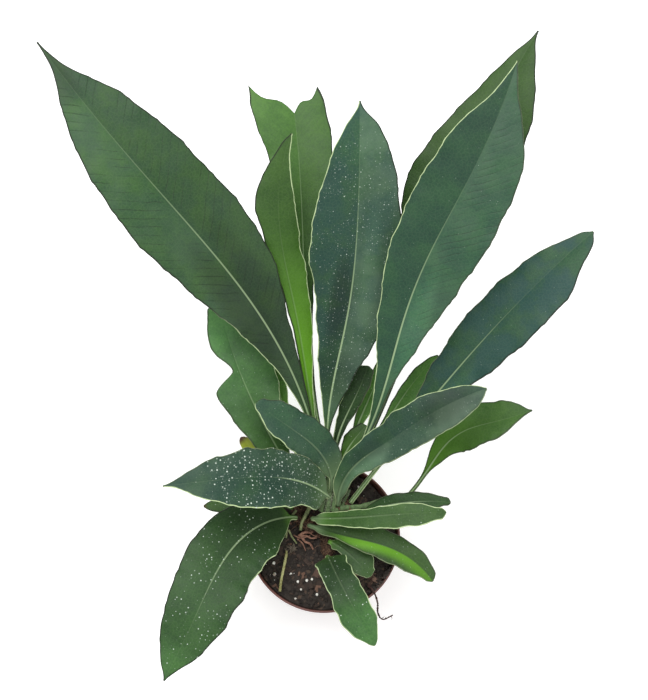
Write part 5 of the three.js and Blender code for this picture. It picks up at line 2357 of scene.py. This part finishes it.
FRAY_STEPS = ((0, 0, 0, 0.5), (0.6, 1.3, 0.3, 0.35), (1.2, 2.4, 0.5, 0.1))


@dataclass
class DeadStalk:
    """The old straw-coloured stalk that lies on the mix.

    Attributes:
        plan: Its points in plan.
        radius: Its radius.
        rest: How far its middle lies over the mix.
        joint: How much thinner it is between its swollen joints.
        joint_turn: How fast the joints follow each other.
        frays: How far each loose fibre at its end leans sideways.
    """

    plan: Sequence[Pair] = ((-29.5, -13), (-31.5, -24), (-33.5, -34), (-34.5, -43))
    radius: float = 1.2
    rest: float = 2.4
    joint: float = 0.14
    joint_turn: float = 0.55
    frays: Sequence[float] = (-0.8, -0.2, 0.4, 0.9)

    def build(self) -> bpy.types.Object:
        """Builds the stalk with its swollen joints and a frayed end.

        Returns:
            The finished stalk.
        """
        mix = PottingMix()
        points = [(x, y, mix.height_at(x, y) + self.rest) for x, y in self.plan]
        path = rounded_path(points, 40)
        main = [
            (x, y, z, self.radius * (1 - self.joint + self.joint * math.sin(self.joint_turn * i) ** 6))
            for i, (x, y, z) in enumerate(path)
        ]
        x, y, z = path[0]
        frays = [
            [(x + out * lean, y + on, z + up, thin) for out, on, up, thin in FRAY_STEPS]
            for lean in self.frays
        ]
        stalk = strands("old_stalk", [main, *frays], sides=5)
        straw = fibrous("old_straw", (122, 118, 66), (186, 184, 132), 800.0)
        stand_in(stalk, straw, "dead_stalk", "dead_stalk")
        return stalk


ROOT_STEPS = 60
ROOT_THINNING = 0.45
ROOT_KNOTS = (0.75, 0.55)
BRANCH_STRIDE = 0.8
BRANCH_CURL = 0.5
BRANCH_DROP = (-0.5, 0.3)
BRANCH_RADII = (0.3, 0.28, 0.05)


@dataclass
class HangingRoot:
    """The thin dark root that hangs out over the rim.

    Attributes:
        points: The points that it passes.
        radius: Its radius.
        forks: The steps of its path at which a branch leaves.
        seed: What its branches start from.
    """

    points: Sequence[Point] = (
        (34, -38, 92.5), (38.5, -44, 96.8), (41.5, -52, 94), (42, -59, 86), (46, -63.5, 82), (54, -60, 80),
    )
    radius: float = 0.9
    forks: Sequence[int] = (22, 30, 36, 41, 45, 50, 54, 57)
    seed: int = 5

    def build(self) -> bpy.types.Object:
        """Builds the root and its short branches.

        Returns:
            The finished root.
        """
        draw = random.Random(self.seed)
        path = rounded_path(self.points, ROOT_STEPS)
        least, spread = ROOT_KNOTS
        main = []
        for i, point in enumerate(path):
            slim = self.radius * (1 - ROOT_THINNING * i / ROOT_STEPS)
            main.append((*point, slim * (least + spread * draw.random() ** 2)))
        paths = [main]
        foot, thick, thinning = BRANCH_RADII
        for start in self.forks:
            x, y, z = path[start]
            heading = draw.random() * ROUND
            drop = draw.uniform(*BRANCH_DROP)
            branch = [(x, y, z, foot)]
            for step in range(draw.randint(2, 4)):
                heading += draw.gauss(0, BRANCH_CURL)
                x += BRANCH_STRIDE * math.cos(heading)
                y += BRANCH_STRIDE * math.sin(heading)
                z += BRANCH_STRIDE * drop
                branch.append((x, y, z, thick - thinning * step))
            paths.append(branch)
        root = strands("loose_root", paths, sides=3)
        stand_in(root, fibrous("dark_root", (30, 18, 16), (74, 50, 44), 900.0), "root", "hanging_root")
        return root


# Studio

@dataclass
class Studio:
    """The floor, the light and the camera.

    Attributes:
        eye: Where the camera stands, in millimetres.
        aim_rise: How far the camera looks down, in degrees.
        lens: Its focal length for its sensor.
        sensor: The width of its sensor.
        floor_size: The side of the floor, in metres.
        floor_drop: How far the floor lies under the pot, in metres.
        room_light: How bright the room is.
        lamps: The lamps, each with its name, place, width and power.
        lit_middle: What the lamps point at, in metres.
    """

    eye: Point = (0, -173.6, 1079.8)
    aim_rise: float = 71.6
    lens: float = 64.6
    sensor: float = 36
    floor_size: float = 24.0
    floor_drop: float = 0.0005
    room_light: float = 0.95
    lamps: Sequence[tuple[str, Point, float, float]] = (
        ("broad_lamp", (-0.35, 0.45, 1.9), 1.1, 22.0),
        ("side_lamp", (1.3, -0.6, 1.5), 0.9, 7.0),
    )
    lit_middle: Point = (0, 0.12, 0.12)

    def build(self) -> None:
        """Builds the whole studio."""
        self._floor()
        self._light()
        self._camera()

    def _floor(self) -> None:
        """Lays the pale floor just under the pot. It glows faintly: painted light that washes out the
        shadows on it.
        """
        start_clean()
        bpy.ops.mesh.primitive_plane_add(size=self.floor_size, location=(0, 0, -self.floor_drop))
        floor = bpy.context.object
        floor.name = floor.data.name = "floor"
        graph = Graph("glowing_pale_floor")
        tone = graph.noise(graph.place(), 3.0, 2.0)
        colour = graph.mix(tone, (0.88, 0.88, 0.88), (0.92, 0.92, 0.92))
        # The floor's glow is painted light that fills in the plant's shadow on it.
        floor.data.materials.append(graph.finish(colour, 0.9, specular=0.1, glow=0.25))

    def _light(self) -> None:
        """Lights the scene from a pale world and from the lamps."""
        scene = bpy.context.scene
        scene.view_settings.view_transform = "Standard"
        scene.view_settings.look = "None"
        world = bpy.data.worlds.new("pale_room")
        world.use_nodes = True
        air = world.node_tree.nodes["Background"].inputs
        air["Color"].default_value = (1.0, 1.0, 1.0, 1)
        air["Strength"].default_value = self.room_light
        scene.world = world
        for name, place, size, power in self.lamps:
            lamp = bpy.data.lights.new(name, "AREA")
            lamp.shape = "DISK"
            lamp.size = size
            lamp.energy = power
            stand = bpy.data.objects.new(name, lamp)
            stand.location = place
            way = Vector(self.lit_middle) - Vector(place)
            stand.rotation_euler = way.to_track_quat("-Z", "Y").to_euler()
            scene.collection.objects.link(stand)

    def _camera(self) -> None:
        """Sets the camera that the photograph was taken with."""
        camera = bpy.data.cameras.new("camera")
        camera.sensor_width = self.sensor
        camera.lens = self.lens
        camera.clip_end = 50
        stand = bpy.data.objects.new("camera", camera)
        stand.location = Vector(self.eye) * MM
        stand.rotation_euler = (math.radians(90 - self.aim_rise), 0, 0)
        bpy.context.scene.collection.objects.link(stand)
        bpy.context.scene.camera = stand


def main() -> None:
    """Builds the plant, its pot and the studio."""
    logging.basicConfig(level=logging.INFO, format="%(name)s: %(message)s", stream=sys.stdout)
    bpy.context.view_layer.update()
    Pot().build()
    PottingMix().build()
    Rhizome().build()
    for index, frond in enumerate(FRONDS):
        frond.phase = frond.phase or PHASE_STEP * index % 1
        frond.build()
    OldGrowth().build()
    DeadStalk().build()
    HangingRoot().build()
    Studio().build()
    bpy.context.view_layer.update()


if __name__ == "__main__":
    main()
